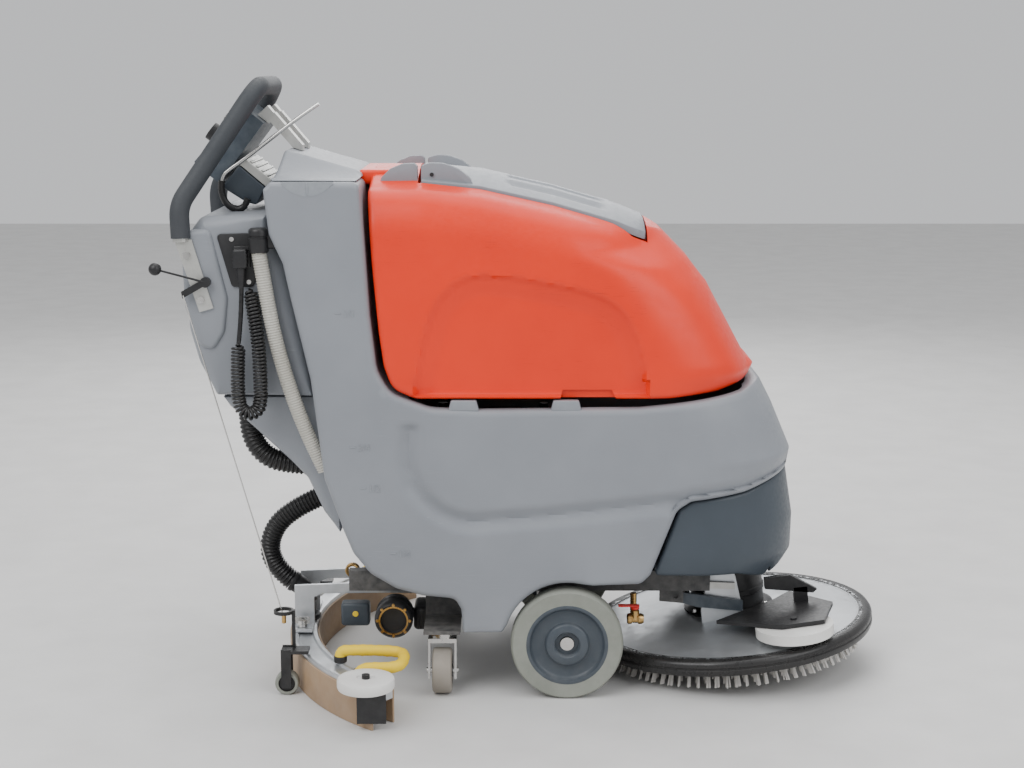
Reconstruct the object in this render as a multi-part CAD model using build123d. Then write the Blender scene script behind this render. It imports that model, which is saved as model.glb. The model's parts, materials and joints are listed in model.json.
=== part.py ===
# Walk-behind scrubber drier: one STEP file for each separate piece, in millimetres.
# +X is forward, +Y is the machine's left and +Z is up. The floor is z = 0.
import math
import os

from build123d import *

# Overall sizes
body_half_width = 240.0
tank_half_width = 235.0
housing_half_width = 198.0
housing_low = 540.0
bulge_half_width = 180.0
body_wall = 8.0
body_side_wall = 22.0
tank_wall = 5.0
housing_wall = 6.0

# Clearances
part_gap = 1.0
moving_gap = 2.0
running_gap = 0.05

# Drive wheels
wheel_x = 66.0
wheel_radius = 100.0
wheel_width = 45.0
wheel_outer_y = 235.0
rim_radius = 77.0
rim_dish = 12.0
hub_radius = 30.0
axle_radius = 10.0
arch_radius = 112.0

# Casters
caster_x = -157.0
caster_y = 185.0
caster_trail = 20.0
caster_radius = 41.0
caster_width = 35.0
caster_top = 112.0
fork_wall = 4.0
caster_axle_radius = 5.0

# Brush deck, flat before it is tilted
deck_x = 390.0
deck_tilt = 6.0
brush_radius = 225.0
bristle_length = 42.0
bumper_radius = 268.0
bumper_wall = 24.0
bumper_low = 14.0
bumper_high = 58.0
deck_plate_low = 50.0
deck_plate_wall = 6.0
brush_motor_radius = 68.0
brush_motor_height = 190.0
guard_roller_radius = 70.0
guard_roller_place = (488.0, 185.0)

# Deck lift linkage, in the side plane
lower_pivot = (270.0, 150.0)
deck_pivot = (385.0, 128.0)
upper_pivot = (262.0, 170.0)
link_end = (372.0, 166.0)
link_pin_radius = 5.0
open_pivot_gap = 1.0
arm_wall = 8.0

# Squeegee
squeegee_radius = 520.0
squeegee_centre_x = 68.0
squeegee_depth = 55.0
squeegee_half_width = 395.0
squeegee_low = 45.0
squeegee_high = 72.0
blade_wall = 4.0
guard_disc_radius = 49.0
guard_disc_wall = 20.0
support_roller_radius = 21.5
squeegee_pivot = (-150.0, 150.0)
squeegee_arm_y = 45.0
elbow_x = -424.0
elbow_radius = 18.0
wing_nut_y = 74.0
wing_reach = 14.0

# Handle
grip_radius = 17.0
handle_tube_radius = 14.0
handle_corner = 58.0
plate_wall = 4.0
plate_y = 205.0
bolt_head_radius = 6.5
bolt_head_length = 5.0
lever_pivot = (-560.0, 745.0)
lever_anchor = (-596.0, 723.0)
lever_knob = (-642.04, 770.0)
knob_radius = 11.0
knob_y = -236.0
lever_wall = 4.0
lever_outer_y = -plate_y - plate_wall - bolt_head_length - moving_gap - lever_wall
cable_radius = 1.2
cable_eye = (-441.0, -202.0, 150.0)

# Hoses and cords
suction_hose_radius = 19.0
drain_hose_radius = 13.0
curl_radius = 13.0
lead_radius = 4.0


# Shapes that several pieces use


def carried(corners, travel):
    # A flat outline carried along a straight line, with its face turned the way it travels.
    face = Face(Wire.make_polygon([Vector(*corner) for corner in corners], close=True))
    ahead = face.normal_at().dot(Vector(*travel)) > 0
    return Solid.extrude(face if ahead else -face, Vector(*travel))


def slab(outline, low_y, high_y):
    # A side outline of (x, z) points, carried across the machine.
    return carried([(x, low_y, z) for x, z in outline], (0, high_y - low_y, 0))


def block(low, high):
    size = [h - l for l, h in zip(low, high)]
    middle = [(h + l) / 2 for l, h in zip(low, high)]
    return Pos(*middle) * Box(*size)


def tower(outline, low_z, high_z):
    # A plan outline of (x, y) points, carried upwards.
    return carried([(x, y, low_z) for x, y in outline], (0, 0, high_z - low_z))


def rod(start, end, radius):
    along = Vector(*end) - Vector(*start)
    return Solid.make_cylinder(radius, along.length, Plane(origin=start, z_dir=along))


def ring_y(x, z, low_y, high_y, outer, inner):
    return rod((x, low_y, z), (x, high_y, z), outer) - rod((x, low_y - 1, z), (x, high_y + 1, z), inner)


def rounded_plan(low_x, high_x, half_width, rear_corner, front_corner, low_z, high_z):
    rear = [(low_x, -half_width), (low_x, half_width)]
    front = [(high_x, half_width), (high_x, -half_width)]
    corners = [rear_corner, rear_corner, front_corner, front_corner]
    outline = FilletPolyline(*rear, *front, radius=corners, close=True)
    face = Pos(0, 0, low_z) * make_face(outline)
    return extrude(face, high_z - low_z)


def bend_radii(points):
    # The largest arc that each corner's two runs allow.
    radii = []
    for before, corner, after in zip(points, points[1:], points[2:]):
        arrive = Vector(*corner) - Vector(*before)
        leave = Vector(*after) - Vector(*corner)
        half_turn = math.radians(arrive.get_angle(leave) / 2)
        radii.append(0.45 * min(arrive.length, leave.length) / math.tan(half_turn))
    return radii


def tube(points, radii, radius):
    path = FilletPolyline(*points, radius=radii) if radii else Line(*points)
    start = Plane(origin=path @ 0, z_dir=path % 0)
    return sweep(start * Circle(radius), path=path)


def cord(name, points, radius):
    radii = bend_radii(points)
    print(name, "radii", [round(value, 1) for value in radii])
    solid = tube(points, radii, radius)
    length = FilletPolyline(*points, radius=radii).length
    print(name, "length", round(length, 1), "volume share",
          round(solid.volume / (math.pi * radius**2 * length), 4))
    return solid


def mirrored(shape):
    return mirror(shape, about=Plane.XZ)


def both_sides(shape):
    return [shape, mirrored(shape)]


# Body, covers and what they hold


def body_outline():
    return [
        (-455, 905), (-443, 918), (-290, 918), (-284, 820), (-276, 666), (-267, 589), (-254, 564),
        (-226, 543), (-174, 529), (-87, 524), (190, 527), (371, 545), (417, 558), (478, 425), (473, 396),
        (380, 372), (283, 360), (258, 344), (213, 227), (196, 210), (49, 210), (-50, 121), (-119, 121),
        (-122, 163), (-133, 183), (-191, 189), (-237, 202), (-282, 229), (-312, 267), (-328, 307),
        (-360, 401), (-381, 578), (-412, 718), (-424, 778), (-447, 829),
    ]


def bulge_outline(wall):
    return [
        (-542 + wall, housing_low - part_gap), (-531 + wall, 520 + wall / 2),
        (-425 + wall / 2, 418 + wall),
        (-397 + wall, 388 + wall / 2), (-369 + wall, 326 + wall), (-337, 286 + wall),
        (-345, housing_low - part_gap),
    ]


def solution_tank():
    outer = slab(body_outline(), -body_half_width, body_half_width)
    outer &= rounded_plan(-460, 478, body_half_width, 22, 190, 100, 940)
    bulge = slab(bulge_outline(0), -bulge_half_width, bulge_half_width)
    bulge &= rounded_plan(-547, -300, bulge_half_width, 40, 2, 200, 560)
    outer += bulge
    water = [
        (-236, 240), (-236, 528), (-278, 592), (-285, 666), (-293, 820), (-299, 930), (-436, 930),
        (-432, 850), (-408, 778), (-396, 718), (-366, 578), (-345, 401), (-314, 307), (-298, 267),
        (-270, 240),
    ]
    bay = [
        (-212, 226), (188, 226), (204, 240), (246, 352), (275, 374), (378, 386), (440, 410),
        (395, 560), (395, 640), (-212, 640),
    ]
    sump = [(-532, 540), (-521, 526), (-424, 432), (-390, 400), (-390, 540)]
    inside = body_half_width - body_side_wall
    outer -= slab(water, -inside, inside)
    outer -= slab(bay, -inside, inside) & rounded_plan(-230, 462, inside, 2, 180, 200, 650)
    outer -= slab(sump, body_wall - bulge_half_width, bulge_half_width - body_wall)
    # The underside is open between the two skirts.
    outer -= block((-400, -185, 90), (200, 185, 205))
    outer -= rod((wheel_x, -260, wheel_radius), (wheel_x, 260, wheel_radius), arch_radius)
    for side in (-1, 1):
        scoop = rod((-379, side * (body_half_width + 10), 968),
                    (-379, side * (body_half_width - 15), 968), 75)
        outer -= scoop
        outer -= side_step(side)
    for x in (-116, 62):
        for side in (-1, 1):
            outer += block((x - 22, min(side * 220, side * 232), 515),
                           (x + 22, max(side * 220, side * 232), 537))
    return [outer]


def side_step(side):
    # The shallow step that sweeps down the side and runs forward.
    step_depth = 9
    outer_line = [(-218, 488), (-226, 401), (-190, 345), (-128, 304), (-18, 306), (-18, 346), (-142, 344)]
    outline = outer_line + [(-205, 400), (-196, 488)]
    low, high = sorted((side * (body_half_width - step_depth), side * (body_half_width + 5)))
    return slab(outline, low, high)


def front_cover():
    outline = [
        (261, 339), (286, 357), (382, 369), (474, 393), (488, 300), (486, 238), (470, 214), (433, 200),
        (372, 222), (219, 222),
    ]
    inside = [
        (264, 334), (290, 351), (382, 363), (466, 386), (482, 300), (480, 240), (466, 190),
        (215, 190), (222, 226),
    ]
    outer = slab(outline, -226, 226) & rounded_plan(200, 488, 226, 2, 185, 180, 400)
    inner = slab(inside, -221, 221) & rounded_plan(180, 483, 221, 2, 180, 170, 390)
    return [outer - inner]


def console_cover():
    base_z = 918 + part_gap
    low = Face(Wire.make_polygon([(-446, -226, base_z), (-292, -226, base_z), (-292, 226, base_z),
                                  (-446, 226, base_z)], close=True))
    top = Face(Wire.make_polygon([(-428, -110, 966), (-300, -110, 934), (-300, 110, 934),
                                  (-428, 110, 966)], close=True))
    cover = loft([low, top], ruled=True)
    cover -= block((-428, -200, 900), (-306, 200, 924))
    for side in (-1, 1):
        cover -= rod((-379, side * 250, 968), (-379, side * (body_half_width - 15), 968), 75)
    return [cover]


def housing_outline():
    return [
        (-455, 860), (-570, 856), (-598, 818), (-596, 660), (-581, 600), (-551, housing_low),
        (-380, housing_low), (-386, 578), (-415, 718), (-427, 778), (-450, 829),
    ]


def rear_housing():
    outer = slab(housing_outline(), -housing_half_width, housing_half_width)
    outer &= rounded_plan(-600, -360, housing_half_width, 40, 2, housing_low - 10, 900)
    hollow = [
        (-380, 852), (-566, 849), (-591, 816), (-589, 661), (-574, 601),
        (-546, housing_low + housing_wall),
        (-360, housing_low + housing_wall),
    ]
    inside_half_width = housing_half_width - housing_wall
    inner = slab(hollow, -inside_half_width, inside_half_width)
    inner &= rounded_plan(-594, -340, inside_half_width, 34, 2, 500, 890)
    return [outer - inner]


def vacuum_motor():
    can = rod((-492, 0, 600), (-492, 0, 720), 58)
    fan = rod((-492, 0, 570), (-492, 0, 600), 66)
    foot = rod((-492, 0, housing_low + housing_wall + part_gap), (-492, 0, 570), 30)
    return [can + fan + foot]


def batteries():
    pieces = []
    for low_x in (-196, 0):
        case = block((low_x, -170, 230), (low_x + 184, 170, 450))
        for side in (-1, 1):
            case += rod((low_x + 30, side * 120, 450), (low_x + 30, side * 120, 468), 9)
        pieces.append(case)
    return pieces


# Steel frame and the drive


def chassis_frame():
    frame = None
    for side in (-1, 1):
        rail = block((-330, min(side * 110, side * 130), 166), (330, max(side * 110, side * 130), 204))
        rail -= rod((wheel_x, side * 100, 100), (wheel_x, side * 140, 100), 52)
        plate = block((-190, min(side * 130, side * 226), caster_top + 2),
                      (-124, max(side * 130, side * 226), caster_top + 8))
        web = block((-190, min(side * 118, side * 130), caster_top + 2),
                    (-124, max(side * 118, side * 130), 170))
        hanger = slab([(240, 204), (240, 140), (284, 136), (284, 204)], *sorted((side * 110, side * 104)))
        hanger -= rod((lower_pivot[0], side * 90, lower_pivot[1]),
                      (lower_pivot[0], side * 120, lower_pivot[1]), 5)
        ear = slab([(-172, 204), (-172, 140), (-128, 140), (-128, 204)], *sorted((side * 57, side * 65)))
        mount = slab([(20, 170), (20, 140), (40, 130), (92, 130), (112, 140), (112, 170)],
                     *sorted((side * 104, side * 110)))
        piece = rail + plate + web + hanger + ear + mount
        frame = piece if frame is None else frame + piece
    for x in (-270, -150, 180, 225):
        frame += block((x - 14, -112, 186), (x + 14, 112, 204))
    pin_x, pin_z = squeegee_pivot
    frame += rod((pin_x, -60, pin_z), (pin_x, 60, pin_z), 8)
    frame += rod((lower_pivot[0], -106, lower_pivot[1]), (lower_pivot[0], 106, lower_pivot[1]), 5)
    frame += rod((upper_pivot[0], -106, upper_pivot[1]), (upper_pivot[0], 106, upper_pivot[1]), 5)
    return [frame]


def transaxle():
    motor = rod((wheel_x, -96, wheel_radius), (wheel_x, 96, wheel_radius), 44)
    gearbox = rod((wheel_x, 20, wheel_radius), (wheel_x, 80, wheel_radius), 50)
    shaft = rod((wheel_x, -wheel_outer_y + 8, wheel_radius), (wheel_x, wheel_outer_y - 8, wheel_radius),
                axle_radius)
    return [motor + gearbox + shaft]


def drive_wheel(side):
    outer_y = side * wheel_outer_y
    inner_y = side * (wheel_outer_y - wheel_width)
    face_y = side * (wheel_outer_y - rim_dish)
    low, high = sorted((inner_y, outer_y))
    x, z = wheel_x, wheel_radius
    tyre = ring_y(x, z, low, high, wheel_radius, rim_radius)
    tyre = tyre.fillet(5, tyre.edges().filter_by(GeomType.CIRCLE).sort_by(SortBy.RADIUS)[-2:])
    ring = ring_y(x, z, low, high, rim_radius, rim_radius - 7)
    web = ring_y(x, z, *sorted((face_y, face_y - side * 8)), rim_radius - 6, 20)
    hub = ring_y(x, z, *sorted((inner_y, outer_y - side * 9)), hub_radius, axle_radius + running_gap)
    return ring + web + hub, tyre


def caster(side):
    x, swivel_y = caster_x, side * caster_y
    wheel_y = swivel_y + side * caster_trail
    fork_in = caster_width / 2 + 4
    fork = rod((x, swivel_y, 100), (x, swivel_y, caster_top), 22)
    fork += block((x - fork_in - fork_wall, swivel_y - 22, 92),
                  (x + fork_in + fork_wall, swivel_y + 22, 100))
    for way in (-1, 1):
        low_x, high_x = sorted((x + way * fork_in, x + way * (fork_in + fork_wall)))
        leg = [(swivel_y - 20, 96), (swivel_y + 20, 96), (wheel_y + 11, 28), (wheel_y - 11, 28)]
        fork += carried([(low_x, y, z) for y, z in leg], (high_x - low_x, 0, 0))
    reach = fork_in + fork_wall + 3
    fork += rod((x - reach, wheel_y, caster_radius), (x + reach, wheel_y, caster_radius),
                caster_axle_radius)
    half = caster_width / 2
    wheel = rod((x - half, wheel_y, caster_radius), (x + half, wheel_y, caster_radius), caster_radius)
    wheel = wheel.fillet(7, wheel.edges().filter_by(GeomType.CIRCLE))
    bore = caster_axle_radius + running_gap
    wheel -= rod((x - half - 1, wheel_y, caster_radius), (x + half + 1, wheel_y, caster_radius), bore)
    return fork, wheel


# Recovery tank and its lid


def tank_top():
    return [(-284, 905), (-188, 907), (-87, 896), (39, 868), (146, 838), (234, 801), (284, 768)]


def tank_profile(wall):
    # Side outline, moved inwards by a wall.
    top = [(x, z - wall) for x, z in tank_top()]
    top[0] = (-281 + wall, 905 - wall)
    front = [(318 - wall, 732), (391 - wall, 594), (411 - wall, 578), (396, 567 + wall),
             (330, 553 + wall)]
    rear = [
        (243, 542 + wall), (-200, 543 + wall), (-231, 558 + wall), (-250 + wall, 589), (-259 + wall, 640),
        (-272 + wall, 780),
    ]
    return top + front + rear


def tank_shape(wall):
    half_width = tank_half_width - wall
    shape = slab(tank_profile(wall), -half_width, half_width)
    shape &= rounded_plan(-300 + wall, 414 - wall, half_width, 30 - wall, 190 - wall, 530, 920)
    # The sides lean in towards the top, and the shoulder is sloped.
    lean = [
        (-half_width, 530), (half_width, 530), (half_width - 4, 700), (half_width - 22, 842),
        (half_width - 48, 906), (half_width - 60, 930), (60 - half_width, 930), (48 - half_width, 906),
        (22 - half_width, 842), (4 - half_width, 700),
    ]
    return shape & carried([(-320, y, z) for y, z in lean], (760, 0, 0))


def recovery_tank():
    outer = tank_shape(0) - tank_shape(tank_wall)
    # The lid lies in a shallow well that is open in the middle.
    line = [(x, z) for x, z in tank_top() if -190 <= x <= 200]
    well = [(-196 - tank_wall, 903)] + [(x, z - 2) for x, z in line] + [(226 + tank_wall, 799)]
    well += [
        (226 + tank_wall, 783)] + [(x, z - 14) for x, z in reversed(line)] + [(-196 - tank_wall, 890)]
    outer += slab(well, -152 - tank_wall, 152 + tank_wall)
    recess = [(-196, 940), (-196, 898)] + [(x, z - 9) for x, z in line] + [(226, 796), (226, 940)]
    outer -= slab(recess, -152, 152)
    outer -= block((-110, -118, 760), (180, 118, 930))
    # Finger notch under the right edge.
    outer -= block((52, -tank_half_width - 1, 530), (148, -tank_half_width + 20, 556))
    hump = [(-262, 900), (-262, 909), (-240, 926), (-215, 936), (-197, 940), (-197, 900)]
    for side in (-1, 1):
        outer += slab(hump, *sorted((side * 120, side * 142)))
        ear = slab([(-190, 895), (-190, 930), (-156, 930), (-156, 895)],
                   *sorted((side * 144, side * 150)))
        outer += ear + rod((-172, side * 136, 925), (-172, side * 148, 925), 4)
    return [outer]


def tank_lid():
    line = [(x, z) for x, z in tank_top() if -100 <= x <= 200]
    under = [(-150, 903 - 8)] + [(x, z - 8) for x, z in line] + [(218, 803)]
    upper = [(218, 812)] + [(x, z + 5) for x, z in reversed(line)] + [(-150, 903 + 5)]
    lid = slab(under + upper, -150, 150)
    for y in (-90, -30, 30, 90):
        groove = [(-60, 940)] + [(x, z + 1) for x, z in line if x > -60] + [(180, 825), (180, 940)]
        lid -= slab(groove, y - 16, y + 16)
    fin = [(-183, 906), (-192, 916), (-193, 938), (-176, 943), (-160, 944), (-138, 940), (-118, 929),
           (-104, 917), (-95, 900), (-150, 900), (-176, 903)]
    for side in (-1, 1):
        wing = slab(fin, *sorted((side * 120, side * 142)))
        wing -= rod((-172, side * 110, 925), (-172, side * 150, 925), 4 + running_gap)
        lid += wing
    return [lid]


def float_cage():
    cage = rod((-60, 0, 760), (-60, 0, 858), 44)
    cage -= rod((-60, 0, 764), (-60, 0, 860), 40)
    ball = Pos(-60, 0, 790) * Sphere(24)
    return [cage, ball]


# Handle, controls and what hangs on them


def handle_points(low_z):
    side = [(-602, 205, low_z), (-604, 203, 876), (-476, 118, 1076)]
    return [(x, -y, z) for x, y, z in side] + list(reversed(side))


def handle_grip():
    radii = [60, handle_corner, handle_corner, 60]
    outer = tube(handle_points(820), radii, grip_radius)
    return [outer - tube(handle_points(816), radii, handle_tube_radius)]


def handle_frame():
    bar = tube(handle_points(814), [60, handle_corner, handle_corner, 60], handle_tube_radius)
    outline = [(-613, 818), (-583, 818), (-549, 699), (-573, 692)]
    for side in (-1, 1):
        bar += slab(outline, *sorted((side * plate_y, side * (plate_y + plate_wall))))
    return [bar] + handle_bracket()


def control_axes(along, out):
    # A point on the control box's slope: along it from its lower end, and out from its front face.
    slope = math.radians(52.3)
    x = -551 + along * math.cos(slope) - out * math.sin(slope)
    z = 907 + along * math.sin(slope) + out * math.cos(slope)
    return x, z


def control_box():
    corners = [control_axes(0, 0), control_axes(133, 0), control_axes(133, 48), control_axes(0, 48)]
    box = slab(corners, -96, 96)
    lip = [control_axes(-4, 40), control_axes(34, 44), control_axes(34, 56), control_axes(2, 58)]
    return [box + slab(lip, -88, 88)]


def speed_knob():
    start = control_axes(62, 48 + part_gap)
    end = control_axes(62, 70)
    return [rod((start[0], -62, start[1]), (end[0], -62, end[1]), 17)]


def key_switch():
    start = control_axes(100, 48 + part_gap)
    end = control_axes(100, 64)
    return [rod((start[0], -60, start[1]), (end[0], -60, end[1]), 8)]


def handle_bracket():
    clamp = [control_axes(134, -4), control_axes(134, 20), control_axes(158, 16), control_axes(152, -10)]
    strap = [(-472, 1024), (-455, 1030), (-406, 972), (-406, 962), (-424, 968)]
    bracket = slab(clamp, -60, 60) + slab(strap, -60, 60)
    return [bracket - block((-500, -30, 940), (-380, 30, 1060))]


def cable_hook():
    hook_y = -104
    points = [(-371, 1046), (-437, 1000), (-496, 954), (-544, 923), (-546, 899), (-536, 868), (-512, 862),
              (-500, 878)]
    spine = [(x, hook_y, z) for x, z in points]
    steel = tube(spine, [80, 80, 12, 20, 12, 12], 3.5)
    clip = block((-548, hook_y + 3, 904), (-534, -96, 914))
    return [steel + clip]


def battery_connector():
    block_outline = [(-548, 900), (-516, 938), (-470, 899), (-486, 868), (-504, 872)]
    cap_outline = [(-515, 939), (-505, 950), (-458, 911), (-469, 900)]
    return [slab(block_outline, -92, 60), slab(cap_outline, -92, 60)]


def connector_panel():
    outline = [(-542, 827), (-458, 829), (-480, 735), (-517, 735)]
    panel = slab(outline, -housing_half_width - plate_wall, -housing_half_width)
    panel += block((-510, -208, 770), (-484, -housing_half_width, 806))
    return [panel]


def fasteners():
    pieces = []
    for side in (-1, 1):
        for x, z in ((-592, 791), (-570, 714)):
            pieces.append(rod((x, side * (plate_y + plate_wall), z),
                              (x, side * (plate_y + plate_wall + bolt_head_length), z), bolt_head_radius))
        outer_y = side * (wheel_outer_y - 8)
        pieces.append(rod((wheel_x, outer_y, wheel_radius), (wheel_x, outer_y + side * 8, wheel_radius),
                          12))
    for x, z in ((-515, 818), (-487, 744)):
        face = -housing_half_width - plate_wall
        pieces.append(rod((x, face - 2, z), (x, face, z), 4))
    return pieces


def cord_plug():
    body = block((-508, -229, 772), (-488, -208, 802))
    relief = Solid.make_cone(5, 7, 36, Plane(origin=(-498, -218, 736), z_dir=(0, 0, 1)))
    return [body + relief]


def lead_route():
    return [(-498, -218, 736), (-499, -219, 688), (-504, -228, 640)]


def curl_route():
    return [
        (-504, -228, 640), (-507, -231, 590), (-506, -232, 518), (-468, -232, 518), (-467, -231, 585),
        (-471, -226, 660), (-484, -214, 733),
    ]


def drain_route():
    return [
        (-466, -220, 797), (-456, -220, 728), (-441, -219, 640), (-415, -216, 545),
        (-386, -211, 465), (-362, -206, 412),
    ]


def dump_route():
    return [(-503, -125, 534), (-507, -125, 478), (-490, -125, 428), (-447, -125, 403), (-374, -125, 402)]


def suction_route():
    return [(-450.5, 0, 146.5), (-487, 0, 176), (-493, 0, 232), (-455, 0, 284), (-392, 0, 312)]


def drain_cap():
    return [rod((-466, -220, 797), (-466, -220, 839), 17)]


# Squeegee lift


def lift_lever():
    px, pz = lever_pivot
    ax, az = lever_anchor
    kx, kz = lever_knob
    low_y = lever_outer_y
    high_y = low_y + lever_wall
    hub = rod((px, low_y, pz), (px, -plate_y - plate_wall - part_gap, pz), 9)
    arm = slab([(px - 3, pz - 7), (ax - 4, az - 6), (ax - 6, az + 6), (px - 3, pz + 6)], low_y, high_y)
    stem = rod((px, (low_y + high_y) / 2, pz), (kx, knob_y, kz), 1.9)
    knob = Pos(kx, knob_y, kz) * Rot(0, 0, 90) * Sphere(knob_radius)
    return [hub + arm + stem + knob]


def lift_cable():
    # The wire hangs from the lever and its ferrule sits under the arm's eye.
    ax, az = lever_anchor
    eye_x, eye_y, eye_z = cable_eye
    top = (ax - 2, lever_outer_y - cable_radius - part_gap, az)
    bottom = (eye_x, eye_y, eye_z - 12)
    wire = rod(top, bottom, cable_radius)
    ferrule = rod((eye_x, eye_y, eye_z - 22), (eye_x, eye_y, eye_z - 7), 4)
    return [wire + ferrule]


def squeegee_arm():
    px, pz = squeegee_pivot
    arm = None
    for side in (-1, 1):
        low, high = sorted((side * squeegee_arm_y, side * (squeegee_arm_y + 8)))
        bar = slab([(px + 14, pz - 12), (px + 14, pz + 12), (-300, 158), (-440, 152), (-440, 136),
                    (-300, 138)], low, high)
        foot = slab([(-440, 152), (-440, 73), (-404, 73), (-404, 130), (-380, 140), (-380, 152)], low,
                    high)
        pad = block((-442, min(low, side * 90), 73), (-404, max(high, side * 90), 79))
        piece = bar + foot + pad
        arm = piece if arm is None else arm + piece
    arm += block((-330, -46, 140), (-310, 46, 156))
    arm -= rod((px, -70, pz), (px, 70, pz), 8 + running_gap)
    return [arm]


def arc_band(outer_radius, inner_radius, low_z, high_z):
    # A curved band about the squeegee's centre, cut to its width.
    band = Solid.make_cylinder(outer_radius, high_z - low_z,
                               Plane(origin=(squeegee_centre_x, 0, low_z), z_dir=(0, 0, 1)))
    band -= Solid.make_cylinder(inner_radius, high_z - low_z + 2,
                                Plane(origin=(squeegee_centre_x, 0, low_z - 1), z_dir=(0, 0, 1)))
    reach = squeegee_half_width
    return band & block((-600, -reach, low_z - 5), (squeegee_centre_x - 60, reach, high_z + 5))


def disc_place():
    x = squeegee_centre_x - math.sqrt(squeegee_radius**2 - squeegee_half_width**2)
    return x - 9, squeegee_half_width - 4


def squeegee_body():
    casting = arc_band(squeegee_radius - blade_wall, squeegee_radius - squeegee_depth + blade_wall,
                       squeegee_low, squeegee_high)
    return [casting]


def squeegee_blades():
    high = squeegee_high - 6
    rear = arc_band(squeegee_radius, squeegee_radius - blade_wall, 0, high)
    front_radius = squeegee_radius - squeegee_depth + blade_wall
    front = arc_band(front_radius, front_radius - blade_wall, 0, high)
    return [rear, front]


def end_blocks():
    x, y = disc_place()
    block_right = block((x - 16, -y - 6, 14), (x + 34, -y + 2, 72.5))
    block_right -= arc_band(squeegee_radius + 0.3, squeegee_radius - squeegee_depth - 0.3, -1, 80)
    axle = rod((x, -y, 73), (x, -y, 100), 7)
    return both_sides(block_right) + both_sides(axle)


def guard_disc(side):
    x, y = disc_place()
    low_z = 75
    disc = rod((x, side * y, low_z), (x, side * y, low_z + guard_disc_wall), guard_disc_radius)
    disc = disc.fillet(3, disc.edges().filter_by(GeomType.CIRCLE))
    return disc - rod((x, side * y, low_z - 1), (x, side * y, low_z + guard_disc_wall + 1),
                      7 + running_gap)


def support_roller(side):
    x, z = -436, support_roller_radius
    low, high = sorted((side * 203, side * 223))
    return ring_y(x, z, low, high, support_roller_radius, 4 + running_gap)


def roller_brackets():
    x, z = -436, support_roller_radius
    bracket = rod((x, -226, z), (x, -199, z), 4)
    for low, high in ((-228, -225), (-201, -198)):
        bracket += slab([(x - 9, z - 7), (x + 9, z - 7), (x + 9, 86), (x - 9, 86)], low, high)
    bracket += block((x - 9, -228, 78), (x + 40, -198, 84))
    # The eye that the lift wire pulls on stands on the right bracket.
    eye_x, eye_y, eye_z = cable_eye
    eye = block((eye_x + 14.5, eye_y - 5, 78), (eye_x + 20, eye_y + 5, eye_z + 3))
    eye += rod((eye_x, eye_y, eye_z - 3), (eye_x, eye_y, eye_z + 3), 18)
    eye -= rod((eye_x, eye_y, eye_z - 5), (eye_x, eye_y, eye_z + 5), 14)
    return [bracket + eye, mirrored(bracket)]


def suction_elbow():
    points = [(elbow_x, 0, 73), (elbow_x, 0, 124), (-450, 0, 146)]
    elbow = tube(points, [24], elbow_radius)
    return [elbow + rod((elbow_x, 0, 73), (elbow_x, 0, 82), 27)]


def squeegee_grips():
    points = [
        (-336, -250, 72.5), (-336, -250, 94), (-222, -256, 94), (-222, -322, 87),
        (-296, -322, 87), (-296, -322, 72.5),
    ]
    return both_sides(tube(points, [12, 24, 24, 12], 9.5))


def wing_nut(side):
    x, y = elbow_x, side * wing_nut_y
    nut = rod((x, y, 80), (x, y, 92), 9)
    return nut + block((x - wing_reach, y - 3, 86), (x + wing_reach, y + 3, 98))


# Pump, filter and valve


def solution_pump():
    case = block((-214, -112, 84), (-136, -40, 128))
    head = rod((-247, -118, 121), (-247, -96, 121), 30)
    pipe = rod((-247, -100, 121), (-190, -90, 110), 8)
    motor = block((-349, -100, 88), (-296, -70, 132))
    hose_ring = ring_y(-329, 186, -68, -60, 14, 8)
    return [case + head + pipe, motor, hose_ring]


def filter_bowl():
    bowl = rod((-247, -168, 121), (-247, -120, 121), 35)
    bowl -= rod((-247, -169, 121), (-247, -160, 121), 24)
    return [bowl]


def solution_valve():
    body = rod((176, -176, 128), (206, -176, 128), 10)
    body += rod((190, -176, 128), (190, -176, 146), 8)
    body += rod((190, -176, 128), (190, -137, 128), 6) + rod((190, -137, 128), (190, -137, 164), 6)
    return [body]


def valve_lever():
    lever = rod((190, -176, 147), (190, -176, 151), 8)
    return [lever + block((160, -181, 151), (198, -171, 154))]


# Brush deck


def tilted(shape):
    # The deck stands on the rear of its bristles with its nose up.
    rear_foot = deck_x - brush_radius
    return Pos(rear_foot, 0, 0) * Rot(0, -deck_tilt, 0) * Pos(-rear_foot, 0, 0) * shape


def disc_z(x, y, low_z, high_z, outer, inner=0.0):
    disc = rod((x, y, low_z), (x, y, high_z), outer)
    return disc - rod((x, y, low_z - 1), (x, y, high_z + 1), inner) if inner else disc


def brush():
    plate = disc_z(deck_x, 0, bristle_length - 4, deck_plate_low - moving_gap, brush_radius, 20)
    bristles = disc_z(deck_x, 0, 0, bristle_length - 4, brush_radius, 90)
    return [tilted(plate), tilted(bristles)]


def deck_plate():
    disc = disc_z(deck_x, 0, deck_plate_low, deck_plate_low + deck_plate_wall,
                  bumper_radius - bumper_wall)
    crown = Solid.make_cone(232, 110, 16,
                            Plane(origin=(deck_x, 0, deck_plate_low + deck_plate_wall), z_dir=(0, 0, 1)))
    shell = disc + crown
    for side in (-1, 1):
        low, high = sorted((side * 84, side * 92))
        cheek = slab([(330, 66), (330, 100), (352, 170), (398, 166), (412, 66)], low, high)
        shell += cheek
    shell = tilted(shell)
    # Pivot holes stay where the linkage puts them.
    for x, z, gap in ((*deck_pivot, running_gap), (*link_end, open_pivot_gap)):
        shell -= rod((x, -110, z), (x, 110, z), link_pin_radius + gap)
    return [shell]


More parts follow.
